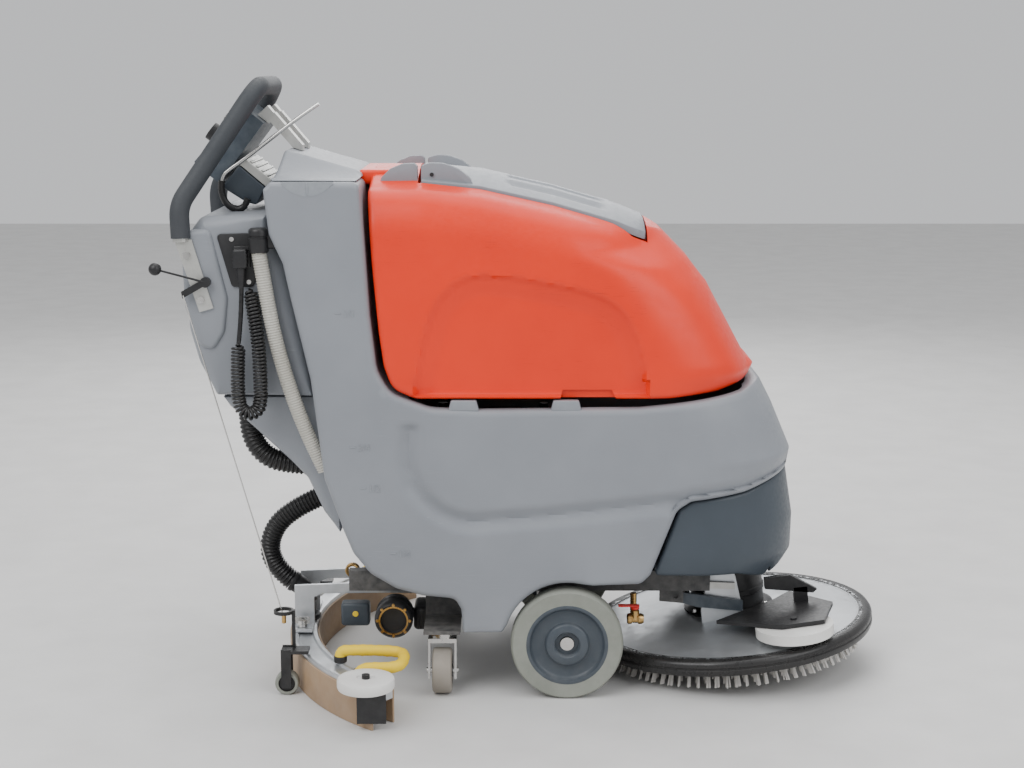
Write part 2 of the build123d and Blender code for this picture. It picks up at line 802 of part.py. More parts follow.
def deck_bumper():
    outer = disc_z(deck_x, 0, bumper_low, bumper_high, bumper_radius, bumper_radius - bumper_wall)
    outer = outer.fillet(8, outer.edges().filter_by(GeomType.CIRCLE).sort_by(SortBy.RADIUS)[-2:])
    return [tilted(outer)]


def brush_motor():
    base = deck_plate_low + deck_plate_wall + 16
    motor = disc_z(deck_x, 0, base, base + brush_motor_height, brush_motor_radius)
    motor += disc_z(deck_x, 0, base + brush_motor_height, base + brush_motor_height + 14, 40)
    return [tilted(motor)]


def deck_guard():
    top = deck_plate_low + deck_plate_wall
    outline = [(352, -150), (462, -214), (540, -206), (572, -110), (505, -20), (470, -60)]
    plate = tower(outline, top + 34, top + 41)
    plate += rod((488, -guard_roller_place[1], top + 10), (488, -guard_roller_place[1], top + 44), 6)
    arm = slab([(452, 148), (452, 128), (540, 112), (548, 118), (500, 150)], -92, -80)
    riser = block((505, -92, top + 34), (530, -76, 125))
    return [tilted(plate + riser), tilted(arm)]


def guard_roller():
    x, y = guard_roller_place
    low = deck_plate_low + deck_plate_wall + 14
    return [tilted(disc_z(x, -y, low, low + 18, guard_roller_radius, 6 + running_gap))]


def deck_arm():
    arm = None
    (lx, lz), (dx, dz) = lower_pivot, deck_pivot
    for side in (-1, 1):
        low, high = sorted((side * 94, side * (94 + arm_wall)))
        outline = [(lx - 12, lz - 9), (lx - 8, lz + 7), (dx + 10, dz + 10), (dx + 10, dz - 10),
                   (lx + 40, lz - 24)]
        bar = slab(outline, low, high)
        bar -= rod((lx, side * 80, lz), (lx, side * 120, lz), link_pin_radius + running_gap)
        bar += rod((dx, side * 84, dz), (dx, side * 100, dz), link_pin_radius)
        arm = bar if arm is None else arm + bar
    arm += rod((lx + 26, -96, lz - 12), (lx + 26, 96, lz - 12), 6)
    return [arm]


def deck_link():
    (ux, uz), (ex, ez) = upper_pivot, link_end
    link = None
    for side in (-1, 1):
        low, high = sorted((side * 94, side * (94 + arm_wall - 1)))
        bar = slab([(ux - 9, uz - 6), (ux - 9, uz + 6), (ex + 8, ez + 6), (ex + 8, ez - 6)], low, high)
        bar -= rod((ux, side * 80, uz), (ux, side * 120, uz), link_pin_radius + running_gap)
        bar += rod((ex, side * 86, ez), (ex, side * 96, ez), link_pin_radius)
        link = bar if link is None else link + bar
    link += rod((ux + 34, -96, uz - 5), (ux + 34, 96, uz - 5), 4)
    return [link]


def build_nodes():
    rim_right, tyre_right = drive_wheel(-1)
    rim_left, tyre_left = drive_wheel(1)
    fork_right, caster_right = caster(-1)
    fork_left, caster_left = caster(1)
    return {
        "chassis_frame": chassis_frame(),
        "solution_tank": solution_tank(),
        "front_cover": front_cover(),
        "console_cover": console_cover(),
        "rear_housing": rear_housing(),
        "vacuum_motor": vacuum_motor(),
        "batteries": batteries(),
        "transaxle": transaxle(),
        "wheel_rim_right": [rim_right],
        "wheel_tyre_right": [tyre_right],
        "wheel_rim_left": [rim_left],
        "wheel_tyre_left": [tyre_left],
        "caster_fork_right": [fork_right],
        "caster_wheel_right": [caster_right],
        "caster_fork_left": [fork_left],
        "caster_wheel_left": [caster_left],
        "recovery_tank": recovery_tank(),
        "tank_lid": tank_lid(),
        "float_cage": float_cage(),
        "handle_grip": handle_grip(),
        "handle_frame": handle_frame(),
        "control_box": control_box(),
        "speed_knob": speed_knob(),
        "key_switch": key_switch(),
        "cable_hook": cable_hook(),
        "battery_connector": battery_connector(),
        "connector_panel": connector_panel(),
        "fasteners": fasteners(),
        "cord_plug": cord_plug(),
        "cord_lead": [cord("cord_lead", lead_route(), lead_radius)],
        "curly_cord": [cord("curly_cord", curl_route(), curl_radius)],
        "drain_hose": [cord("drain_hose", drain_route(), drain_hose_radius)],
        "drain_cap": drain_cap(),
        "dump_hose": [cord("dump_hose", dump_route(), suction_hose_radius)],
        "suction_hose": [cord("suction_hose", suction_route(), suction_hose_radius)],
        "suction_elbow": suction_elbow(),
        "lift_lever": lift_lever(),
        "lift_cable": lift_cable(),
        "squeegee_arm": squeegee_arm(),
        "squeegee_body": squeegee_body(),
        "squeegee_blades": squeegee_blades(),
        "squeegee_grips": squeegee_grips(),
        "squeegee_brackets": roller_brackets() + end_blocks(),
        "wing_nut_right": [wing_nut(-1)],
        "wing_nut_left": [wing_nut(1)],
        "squeegee_roller_right": [support_roller(-1)],
        "squeegee_roller_left": [support_roller(1)],
        "guard_disc_right": [guard_disc(-1)],
        "guard_disc_left": [guard_disc(1)],
        "water_circuit": solution_pump() + solution_valve(),
        "filter_bowl": filter_bowl(),
        "valve_lever": valve_lever(),
        "deck_plate": deck_plate(),
        "deck_bumper": deck_bumper(),
        "brush": brush(),
        "brush_motor": brush_motor(),
        "deck_guard": deck_guard(),
        "guard_roller": guard_roller(),
        "deck_arm": deck_arm(),
        "deck_link": deck_link(),
    }


def main():
    os.makedirs("parts", exist_ok=True)
    for name, solids in build_nodes().items():
        export_step(Compound(children=list(solids)), f"parts/{name}.step")


main()
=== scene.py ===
# A walk-behind scrubber drier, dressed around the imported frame. Sizes in the tables are millimetres.
import json
import math

import bmesh
import bpy
from mathutils import Matrix, Vector, noise


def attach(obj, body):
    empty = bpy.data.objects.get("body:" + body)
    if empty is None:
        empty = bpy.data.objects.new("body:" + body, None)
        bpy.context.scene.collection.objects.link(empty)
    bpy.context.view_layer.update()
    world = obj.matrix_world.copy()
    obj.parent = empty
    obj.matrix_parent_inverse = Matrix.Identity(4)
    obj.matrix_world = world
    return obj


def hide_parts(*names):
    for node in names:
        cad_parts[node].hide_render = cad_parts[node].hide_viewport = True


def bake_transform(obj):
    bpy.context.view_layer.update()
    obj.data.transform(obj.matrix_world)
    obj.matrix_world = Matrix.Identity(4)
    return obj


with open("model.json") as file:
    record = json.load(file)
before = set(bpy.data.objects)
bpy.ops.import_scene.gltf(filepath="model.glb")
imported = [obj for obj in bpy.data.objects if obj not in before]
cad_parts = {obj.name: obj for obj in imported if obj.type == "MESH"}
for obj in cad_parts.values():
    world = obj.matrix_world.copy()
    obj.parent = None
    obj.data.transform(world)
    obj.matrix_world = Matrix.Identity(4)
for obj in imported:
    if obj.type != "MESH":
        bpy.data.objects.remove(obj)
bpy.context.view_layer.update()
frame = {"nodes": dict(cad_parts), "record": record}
mm = 0.001
print("frame loaded,", len(frame["nodes"]), "nodes")

# camera comes first

view = {"place": (-0.032, -3.2, 1.12), "pitch": 79.5, "lens": 61.3, "sensor": 36}


def setCamera():
    data = bpy.data.cameras.new("viewCamera")
    data.lens, data.sensor_width = view["lens"], view["sensor"]
    camera = bpy.data.objects.new("viewCamera", data)
    camera.location = view["place"]
    camera.rotation_euler = (math.radians(view["pitch"]), 0, 0)
    bpy.context.collection.objects.link(camera)
    bpy.context.scene.camera = camera


setCamera()

# finishes


def newGroup(name, inputs, outputs):
    tree = bpy.data.node_groups.new(name, "ShaderNodeTree")
    for label, kind, value in inputs:
        socket = tree.interface.new_socket(name=label, in_out="INPUT", socket_type=kind)
        socket.default_value = value
    for label, kind in outputs:
        tree.interface.new_socket(name=label, in_out="OUTPUT", socket_type=kind)
    return tree, tree.nodes.new("NodeGroupInput"), tree.nodes.new("NodeGroupOutput")


def maths(tree, operation, first, second=None, clamp=False):
    node = tree.nodes.new("ShaderNodeMath")
    node.operation, node.use_clamp = operation, clamp
    for slot, value in enumerate((first, second)):
        if value is None:
            continue
        if isinstance(value, (int, float)):
            node.inputs[slot].default_value = value
        else:
            tree.links.new(value, node.inputs[slot])
    return node.outputs[0]


def spread(tree, value, low, high):
    # Stretches a noise value to 0..1 between two levels.
    node = tree.nodes.new("ShaderNodeMapRange")
    node.inputs["From Min"].default_value = low
    node.inputs["From Max"].default_value = high
    tree.links.new(value, node.inputs["Value"])
    return node.outputs[0]


def noiseOf(tree, vector, scale, detail=3.0, rough=0.55):
    node = tree.nodes.new("ShaderNodeTexNoise")
    node.inputs["Detail"].default_value = detail
    node.inputs["Roughness"].default_value = rough
    tree.links.new(vector, node.inputs["Vector"])
    if isinstance(scale, (int, float)):
        node.inputs["Scale"].default_value = scale
    else:
        tree.links.new(scale, node.inputs["Scale"])
    return node.outputs["Fac"]


def mixColour(tree, share, first, second, blend="MIX"):
    node = tree.nodes.new("ShaderNodeMix")
    node.data_type, node.blend_type = "RGBA", blend
    for socket, value in ((node.inputs[0], share), (node.inputs[6], first), (node.inputs[7], second)):
        if isinstance(value, (int, float, tuple)):
            socket.default_value = value
        else:
            tree.links.new(value, socket)
    return node.outputs[2]


def buildMottle():
    # Slow change of shade over a moulded or cast surface.
    tree, here, out = newGroup(
        "mottle",
        [("Vector", "NodeSocketVector", (0, 0, 0)), ("Colour", "NodeSocketColor", (1, 1, 1, 1)),
         ("Second", "NodeSocketColor", (0, 0, 0, 1)), ("Scale", "NodeSocketFloat", 6.0),
         ("Amount", "NodeSocketFloat", 0.2)],
        [("Colour", "NodeSocketColor"), ("Mask", "NodeSocketFloat")],
    )
    broad = spread(tree, noiseOf(tree, here.outputs["Vector"], here.outputs["Scale"]), 0.35, 0.68)
    share = maths(tree, "MULTIPLY", broad, here.outputs["Amount"], clamp=True)
    tree.links.new(mixColour(tree, share, here.outputs["Colour"], here.outputs["Second"]),
                   out.inputs["Colour"])
    tree.links.new(broad, out.inputs["Mask"])
    return tree


def buildGrain():
    # Fine orange peel or casting grain, as a height and a 0..1 shade.
    tree, here, out = newGroup(
        "grain",
        [("Vector", "NodeSocketVector", (0, 0, 0)), ("Scale", "NodeSocketFloat", 700.0),
         ("Depth", "NodeSocketFloat", 1.0)],
        [("Height", "NodeSocketFloat"), ("Shade", "NodeSocketFloat")],
    )
    fine = noiseOf(tree, here.outputs["Vector"], here.outputs["Scale"], 2.0, 0.6)
    coarseScale = maths(tree, "MULTIPLY", here.outputs["Scale"], 0.13)
    coarse = noiseOf(tree, here.outputs["Vector"], coarseScale, 2.0, 0.5)
    both = maths(tree, "ADD", maths(tree, "MULTIPLY", fine, 0.6), maths(tree, "MULTIPLY", coarse, 0.7))
    tree.links.new(maths(tree, "MULTIPLY", both, here.outputs["Depth"]), out.inputs["Height"])
    tree.links.new(spread(tree, coarse, 0.3, 0.7), out.inputs["Shade"])
    return tree


def buildScuffs():
    # Thin scratches in two directions, kept to worn patches.
    tree, here, out = newGroup(
        "scuffs",
        [("Vector", "NodeSocketVector", (0, 0, 0)), ("Amount", "NodeSocketFloat", 0.3)],
        [("Mask", "NodeSocketFloat")],
    )
    lines = []
    for turn, stretch in ((0.25, (22, 260, 900)), (-0.5, (30, 300, 700))):
        mapping = tree.nodes.new("ShaderNodeMapping")
        mapping.inputs["Rotation"].default_value = (0, turn, 0)
        mapping.inputs["Scale"].default_value = stretch
        tree.links.new(here.outputs["Vector"], mapping.inputs["Vector"])
        lines.append(spread(tree, noiseOf(tree, mapping.outputs[0], 1.0, 2.0, 0.5), 0.67, 0.72))
    patches = spread(tree, noiseOf(tree, here.outputs["Vector"], 7.0, 3.0, 0.6), 0.5, 0.66)
    either = maths(tree, "MAXIMUM", lines[0], lines[1])
    worn = maths(tree, "MULTIPLY", either, patches)
    tree.links.new(maths(tree, "MULTIPLY", worn, here.outputs["Amount"], clamp=True),
                   out.inputs["Mask"])
    return tree


def buildDust():
    # Dust that lies on what faces up and gathers low down on the machine.
    tree, here, out = newGroup(
        "dust",
        [("Vector", "NodeSocketVector", (0, 0, 0)), ("Facing", "NodeSocketVector", (0, 0, 1)),
         ("Amount", "NodeSocketFloat", 0.2)],
        [("Mask", "NodeSocketFloat")],
    )
    up = tree.nodes.new("ShaderNodeSeparateXYZ")
    tree.links.new(here.outputs["Facing"], up.inputs[0])
    where = tree.nodes.new("ShaderNodeSeparateXYZ")
    tree.links.new(here.outputs["Vector"], where.inputs[0])
    top = spread(tree, up.outputs["Z"], 0.3, 1.0)
    low = spread(tree, where.outputs["Z"], 0.25, 0.0)
    both = maths(tree, "ADD", maths(tree, "MULTIPLY", top, 0.7), maths(tree, "MULTIPLY", low, 0.6))
    cloudy = spread(tree, noiseOf(tree, here.outputs["Vector"], 34.0, 5.0, 0.65), 0.3, 0.75)
    patchy = maths(tree, "MULTIPLY", both, cloudy)
    tree.links.new(maths(tree, "MULTIPLY", patchy, here.outputs["Amount"], clamp=True),
                   out.inputs["Mask"])
    return tree


def buildEdgeWear():
    # Rubbed convex edges.
    tree, here, out = newGroup(
        "edgeWear",
        [("Vector", "NodeSocketVector", (0, 0, 0)), ("Amount", "NodeSocketFloat", 0.3)],
        [("Mask", "NodeSocketFloat")],
    )
    shape = tree.nodes.new("ShaderNodeNewGeometry")
    edge = spread(tree, shape.outputs["Pointiness"], 0.52, 0.6)
    broken = spread(tree, noiseOf(tree, here.outputs["Vector"], 60.0, 4.0, 0.6), 0.35, 0.7)
    worn = maths(tree, "MULTIPLY", edge, broken)
    tree.links.new(maths(tree, "MULTIPLY", worn, here.outputs["Amount"], clamp=True),
                   out.inputs["Mask"])
    return tree


mottle = buildMottle()
grain = buildGrain()
scuffs = buildScuffs()
dust = buildDust()
edgeWear = buildEdgeWear()

# rough is roughness and its spread, grain is scale and bump; scuffs and wear are an amount and a colour
finishes = {
    "bodyGrey": dict(
        slot="body_grey", rough=(0.42, 0.12),
        colour=(0.240, 0.255, 0.280), second=(0.212, 0.226, 0.250), dust=0.12,
        grain=(900, 0.10), scuffs=(0.25, (0.4, 0.44, 0.46)), wear=(0.2, (0.42, 0.46, 0.48)),
    ),
    "tankRed": dict(
        slot="tank_red", rough=(0.36, 0.12),
        colour=(0.80, 0.030, 0.002), second=(0.73, 0.025, 0.002), dust=0.03,
        grain=(900, 0.12), scuffs=(0.4, (0.30, 0.02, 0.01)), wear=(0.22, (0.95, 0.16, 0.06)),
    ),
    "slatePlastic": dict(
        slot="slate_plastic", rough=(0.40, 0.14),
        colour=(0.040, 0.052, 0.066), second=(0.050, 0.064, 0.080), dust=0.14,
        grain=(1100, 0.10), scuffs=(0.3, (0.14, 0.16, 0.18)), wear=(0.35, (0.13, 0.15, 0.17)),
    ),
    "blackPlastic": dict(
        slot="black_plastic", rough=(0.38, 0.15),
        colour=(0.012, 0.012, 0.013), second=(0.02, 0.02, 0.022), dust=0.05,
        grain=(1400, 0.10), scuffs=(0.25, (0.06, 0.06, 0.06)), wear=(0.3, (0.05, 0.05, 0.05)),
    ),
    "blackRubber": dict(
        slot="black_rubber", rough=(0.30, 0.16),
        colour=(0.011, 0.011, 0.012), second=(0.022, 0.021, 0.020), dust=0.03,
        grain=(800, 0.12), scuffs=(0.15, (0.05, 0.05, 0.05)), wear=(0.15, (0.06, 0.06, 0.06)),
    ),
    "gripFoam": dict(
        slot="grip_rubber", rough=(0.62, 0.12),
        colour=(0.028, 0.033, 0.039), second=(0.042, 0.046, 0.052), dust=0.10,
        grain=(2200, 0.25), scuffs=(0.2, (0.09, 0.09, 0.10)), wear=(0.2, (0.08, 0.08, 0.09)),
    ),
    "framePaint": dict(
        slot="frame_steel", rough=(0.5, 0.15),
        colour=(0.025, 0.027, 0.03), second=(0.05, 0.05, 0.05), dust=0.35,
        grain=(600, 0.15), scuffs=(0.4, (0.2, 0.2, 0.2)), wear=(0.5, (0.22, 0.21, 0.2)),
    ),
    "castMetal": dict(
        slot="cast_metal", rough=(0.5, 0.15), metal=0.8,
        colour=(0.16, 0.16, 0.155), second=(0.09, 0.09, 0.085), dust=0.25,
        grain=(420, 0.4), scuffs=(0.3, (0.3, 0.3, 0.3)), wear=(0.4, (0.4, 0.4, 0.4)),
    ),
    "castAluminium": dict(
        slot="cast_aluminium", rough=(0.36, 0.16), metal=0.75,
        colour=(0.60, 0.62, 0.64), second=(0.46, 0.48, 0.5), dust=0.18,
        grain=(380, 0.22), scuffs=(0.35, (0.3, 0.31, 0.32)), wear=(0.4, (0.8, 0.8, 0.82)),
    ),
    "paleMetal": dict(
        slot="pale_metal", rough=(0.38, 0.14), metal=0.65,
        colour=(0.52, 0.52, 0.50), second=(0.44, 0.44, 0.41), dust=0.12,
        grain=(500, 0.14), scuffs=(0.3, (0.3, 0.3, 0.28)), wear=(0.3, (0.7, 0.7, 0.68)),
    ),
    "brightSteel": dict(
        slot="bright_steel", rough=(0.22, 0.16), metal=1.0,
        colour=(0.66, 0.65, 0.63), second=(0.5, 0.49, 0.47), dust=0.06,
        grain=(700, 0.08), scuffs=(0.3, (0.35, 0.34, 0.33)), wear=(0.2, (0.8, 0.8, 0.8)),
    ),
    "brass": dict(
        slot="bright_steel", rough=(0.30, 0.15), metal=1.0,
        colour=(0.56, 0.36, 0.13), second=(0.40, 0.24, 0.09), dust=0.1,
        grain=(600, 0.12), scuffs=(0.3, (0.25, 0.15, 0.06)), wear=(0.3, (0.75, 0.52, 0.25)),
    ),
    "greyTyre": dict(
        slot="grey_tyre", rough=(0.62, 0.12),
        colour=(0.235, 0.250, 0.215), second=(0.185, 0.195, 0.170), dust=0.30,
        grain=(800, 0.22), scuffs=(0.3, (0.12, 0.12, 0.11)), wear=(0.3, (0.34, 0.35, 0.31)),
    ),
    "casterTread": dict(
        slot="grey_tyre", rough=(0.5, 0.12),
        colour=(0.30, 0.27, 0.23), second=(0.22, 0.195, 0.165), dust=0.3,
        grain=(800, 0.2), scuffs=(0.35, (0.12, 0.11, 0.10)), wear=(0.3, (0.4, 0.36, 0.31)),
    ),
    "whitePlastic": dict(
        slot="white_plastic", rough=(0.42, 0.12),
        colour=(0.78, 0.78, 0.76), second=(0.70, 0.69, 0.66), dust=0.14,
        grain=(900, 0.10), scuffs=(0.35, (0.45, 0.44, 0.42)), wear=(0.2, (0.6, 0.59, 0.56)),
    ),
    "tanRubber": dict(
        slot="tan_rubber", rough=(0.55, 0.12),
        colour=(0.38, 0.25, 0.145), second=(0.22, 0.145, 0.09), dust=0.3,
        grain=(700, 0.2), scuffs=(0.4, (0.12, 0.09, 0.07)), wear=(0.2, (0.45, 0.33, 0.22)),
    ),
    "yellowFoam": dict(
        slot="yellow_foam", rough=(0.55, 0.12),
        colour=(0.88, 0.62, 0.015), second=(0.80, 0.52, 0.015), dust=0.06,
        grain=(1500, 0.3), scuffs=(0.2, (0.5, 0.36, 0.05)), wear=(0.15, (0.95, 0.75, 0.2)),
    ),
    "redPlastic": dict(
        slot="red_plastic", rough=(0.4, 0.1),
        colour=(0.62, 0.02, 0.015), second=(0.5, 0.015, 0.012), dust=0.12,
        grain=(900, 0.1), scuffs=(0.3, (0.3, 0.05, 0.04)), wear=(0.2, (0.75, 0.12, 0.1)),
    ),
    "bristle": dict(
        slot="bristle_white", rough=(0.5, 0.12),
        colour=(0.66, 0.64, 0.61), second=(0.50, 0.48, 0.45), dust=0.30,
        grain=(900, 0.1), scuffs=(0.1, (0.3, 0.3, 0.28)), wear=(0.1, (0.7, 0.7, 0.68)),
    ),
    "clearHose": dict(
        slot="clear_hose", rough=(0.34, 0.14), through=0.25,
        colour=(0.60, 0.585, 0.53), second=(0.46, 0.44, 0.38), dust=0.1,
        grain=(900, 0.1), scuffs=(0.2, (0.34, 0.32, 0.26)), wear=(0.3, (0.8, 0.79, 0.74)),
    ),
    "concrete": dict(
        slot=None, rough=(0.75, 0.1),
        colour=(0.66, 0.655, 0.645), second=(0.60, 0.595, 0.585), dust=0.0,
        grain=(260, 0.15), scuffs=(0.0, (0.5, 0.5, 0.5)), wear=(0.0, (0.6, 0.6, 0.6)),
    ),
}


def placeGroup(tree, group, values, links):
    node = tree.nodes.new("ShaderNodeGroup")
    node.node_tree = group
    for label, value in values.items():
        node.inputs[label].default_value = (*value, 1) if isinstance(value, tuple) else value
    for label, source in links.items():
        tree.links.new(source, node.inputs[label])
    return node


def makeFinish(name, look):
    material = bpy.data.materials.new(name)
    material.use_nodes = True
    tree = material.node_tree
    shader = tree.nodes["Principled BSDF"]
    place = tree.nodes.new("ShaderNodeTexCoord")
    where = {"Vector": place.outputs["Object"]}
    shade = placeGroup(tree, mottle, {"Colour": look["colour"], "Second": look["second"], "Scale": 7.0,
                                      "Amount": 0.8}, where)
    skin = placeGroup(tree, grain, {"Scale": look["grain"][0], "Depth": 1.0}, where)
    colour = shade.outputs["Colour"]
    worn = placeGroup(tree, edgeWear, {"Amount": look["wear"][0]}, where)
    colour = mixColour(tree, worn.outputs["Mask"], colour, (*look["wear"][1], 1))
    lines = placeGroup(tree, scuffs, {"Amount": look["scuffs"][0]}, where)
    colour = mixColour(tree, lines.outputs["Mask"], colour, (*look["scuffs"][1], 1))
    film = placeGroup(tree, dust, {"Amount": look["dust"]},
                      {**where, "Facing": place.outputs["Normal"]})
    colour = mixColour(tree, film.outputs["Mask"], colour, (0.42, 0.40, 0.37, 1))
    tree.links.new(colour, shader.inputs["Base Color"])
    low, more = look["rough"]
    rough = maths(tree, "ADD", maths(tree, "MULTIPLY", skin.outputs["Shade"], more), low - more / 2)
    rough = maths(tree, "ADD", rough, maths(tree, "MULTIPLY", film.outputs["Mask"], 0.4), clamp=True)
    tree.links.new(rough, shader.inputs["Roughness"])
    shader.inputs["Metallic"].default_value = look.get("metal", 0.0)
    shader.inputs["Specular IOR Level"].default_value = look.get("shine", 0.4)
    shader.inputs["Transmission Weight"].default_value = look.get("through", 0.0)
    height = maths(tree, "SUBTRACT", skin.outputs["Height"],
                   maths(tree, "MULTIPLY", lines.outputs["Mask"], 0.6))
    bump = tree.nodes.new("ShaderNodeBump")
    bump.inputs["Strength"].default_value = look["grain"][1]
    bump.inputs["Distance"].default_value = 0.0006
    tree.links.new(height, bump.inputs["Height"])
    tree.links.new(bump.outputs["Normal"], shader.inputs["Normal"])
    return material


made = {name: makeFinish(name, look) for name, look in finishes.items()}
print("finishes made,", len(made))

# shapes that several pieces use


bothSides = ((-1, "Right"), (1, "Left"))


def finishPiece(name, bm, finish, body, replaced=(), sharp=38, merge=0.01, bends=None):
    # Cleans the mesh, brings it to metres, and puts it on its body.
    if merge:
        bmesh.ops.remove_doubles(bm, verts=bm.verts[:], dist=merge)
    bmesh.ops.recalc_face_normals(bm, faces=bm.faces[:])
    bmesh.ops.scale(bm, vec=(mm, mm, mm), verts=bm.verts[:])
    mesh = bpy.data.meshes.new(name)
    bm.to_mesh(mesh)
    bm.free()
    mesh.polygons.foreach_set("use_smooth", [True] * len(mesh.polygons))
    mesh.set_sharp_from_angle(angle=math.radians(sharp))
    mesh.materials.append(made[finish])
    piece = bpy.data.objects.new(name, mesh)
    bpy.context.collection.objects.link(piece)
    if bends:
        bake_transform(piece)
    else:
        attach(piece, body)
    if replaced:
        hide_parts(*replaced)
    return piece


def rounded(corners):
    # Corners are (a, b, radius); round stretches become short runs of points.
    line = []
    for index, (a, b, radius) in enumerate(corners):
        here = Vector((a, b))
        arrive = here - Vector(corners[index - 1][:2])
        leave = Vector(corners[(index + 1) % len(corners)][:2]) - here
        turn = arrive.angle(leave)
        if radius <= 0 or turn < 0.03:
            line.append((a, b))
            continue
        reach = min(radius * math.tan(turn / 2), 0.47 * arrive.length, 0.47 * leave.length)
        start, end = here - arrive.normalized() * reach, here + leave.normalized() * reach
        steps = max(2, round(math.degrees(turn) / 10))
        for step in range(steps + 1):
            t = step / steps
            line.append(tuple(start * (1 - t) ** 2 + here * 2 * t * (1 - t) + end * t * t))
    return line


def along(line, at):
    # The second value of a line of points at a first value, by straight steps.
    if at <= line[0][0]:
        return line[0][1]
    for (a, b), (c, d) in zip(line, line[1:]):
        if at <= c:
            return b + (d - b) * (at - a) / (c - a)
    return line[-1][1]


def lineDistance(x, z, line):
    best = 1e9
    for (a, b), (c, d) in zip(line, line[1:]):
        dx, dz = c - a, d - b
        t = max(0.0, min(1.0, ((x - a) * dx + (z - b) * dz) / (dx * dx + dz * dz)))
        best = min(best, math.hypot(x - a - t * dx, z - b - t * dz))
    return best


def insideLine(x, z, line):
    found = False
    for (a, b), (c, d) in zip(line, line[1:] + line[:1]):
        if (b > z) != (d > z) and x < a + (c - a) * (z - b) / (d - b):
            found = not found
    return found


def ease(value, low, high):
    t = max(0.0, min(1.0, (value - low) / (high - low)))
    return t * t * (3 - 2 * t)


def movedVerts(result):
    return [item for item in result["geom"] if isinstance(item, bmesh.types.BMVert)]


def rolledEdge(outline, edge):
    # For each point of a closed outline: the way inward, and how far the rolled edge may reach there.
    area = sum(a * d - c * b for (a, b), (c, d) in zip(outline, outline[1:] + outline[:1]))
    points = [Vector(point) for point in (outline if area > 0 else outline[::-1])]
    count = len(points)
    inward, allowed = [], []
    for index, here in enumerate(points):
        arrive, leave = here - points[index - 1], points[(index + 1) % count] - here
        first, second = arrive.normalized(), leave.normalized()
        facing = Vector((-first.y, first.x)) + Vector((-second.y, second.x))
        inward.append(facing / max(0.6, 1 + first.dot(second)))
        turn = math.atan2(first.x * second.y - first.y * second.x, first.dot(second))
        tight = 0.035 < turn < 0.5
        allowed.append(0.9 * min(arrive.length,
                                 leave.length) / (2 * math.sin(turn / 2)) if tight else edge)
    reach = [min(edge, value) for value in allowed]
    for way in list(range(count)) * 2 + list(range(count - 1, -1, -1)) * 2:
        for other in (way - 1, (way + 1) % count):
            reach[way] = min(reach[way], reach[other] + 0.3 * (points[way] - points[other]).length)
    return points, inward, reach


def cutAcross(bm, axis, places):
    normal = Vector((axis == 0, axis == 1, axis == 2))
    for place in places:
        everything = bm.verts[:] + bm.edges[:] + bm.faces[:]
        bmesh.ops.bisect_plane(bm, geom=everything, dist=0.002, plane_co=normal * place,
                               plane_no=normal)


def steps(low, high, size):
    count = max(1, round((high - low) / size))
    return [low + (high - low) * index / count for index in range(count + 1)]


def halfShell(outline, halfWidth, edge, rings=5):
    # The right half of a shell: its walls in to the middle, a quarter-round edge, and the flat side face.
    bm = bmesh.new()
    points, inward, reach = rolledEdge(outline, edge)
    rows = [[bm.verts.new((point.x, 0, point.y)) for point in points]]
    for ring in range(rings + 1):
        turn = math.radians(90 * ring / rings)
        row = []
        for point, way, far in zip(points, inward, reach):
            place = point + way * far * (1 - math.cos(turn))
            row.append(bm.verts.new((place.x, edge - halfWidth - edge * math.sin(turn), place.y)))
        rows.append(row)
    for low, high in zip(rows, rows[1:]):
        for index in range(len(points)):
            bm.faces.new((low[index - 1], low[index], high[index], high[index - 1]))
    bm.faces.new(rows[-1])
    return bm


def bothHalves(bm):
    bmesh.ops.mirror(bm, geom=bm.verts[:] + bm.edges[:] + bm.faces[:], axis="Y", merge_dist=0.01)
    bmesh.ops.remove_doubles(bm, verts=bm.verts[:], dist=0.01)


def planWidth(x, frontX, halfWidth, radius):
    # Half width of a plan whose front corners are round.
    across = max(0.0, min(radius, x - (frontX - radius)))
    return halfWidth - radius + math.sqrt(radius**2 - across**2)


def prism(bm, outline, low, high, axis=1):
    # An outline of (a, b) points carried along an axis; returns its verts.
    def spot(a, b, depth):
        return ((depth, a, b), (a, depth, b), (a, b, depth))[axis]

    face = bm.faces.new([bm.verts.new(spot(a, b, low)) for a, b in outline])
    moved = movedVerts(bmesh.ops.extrude_face_region(bm, geom=[face]))
    shift = Vector((axis == 0, axis == 1, axis == 2)) * (high - low)
    bmesh.ops.translate(bm, verts=moved, vec=shift)
    return list(face.verts) + moved


def softened(bm, width, segments=3, angle=30, verts=None):
    # Bevels every edge that turns by more than an angle.
    bmesh.ops.recalc_face_normals(bm, faces=bm.faces[:])
    chosen = bm.edges if verts is None else {edge for vert in verts for edge in vert.link_edges}
    edges = [edge for edge in chosen if len(edge.link_faces) == 2
             and edge.calc_face_angle(0) > math.radians(angle)]
    bmesh.ops.bevel(bm, geom=edges, offset=width, offset_type="OFFSET", segments=segments, profile=0.5,
                    affect="EDGES", clamp_overlap=True, material=-1)


def softPrism(outline, low, high, width, segments=3, axis=1, angle=30):
    bm = bmesh.new()
    prism(bm, outline, low, high, axis)
    softened(bm, width, segments, angle)
    return bm


def softBlock(low, high, width, segments=3):
    outline = [(low[0], low[2]), (high[0], low[2]), (high[0], high[2]), (low[0], high[2])]
    return softPrism(outline, low[1], high[1], width, segments)


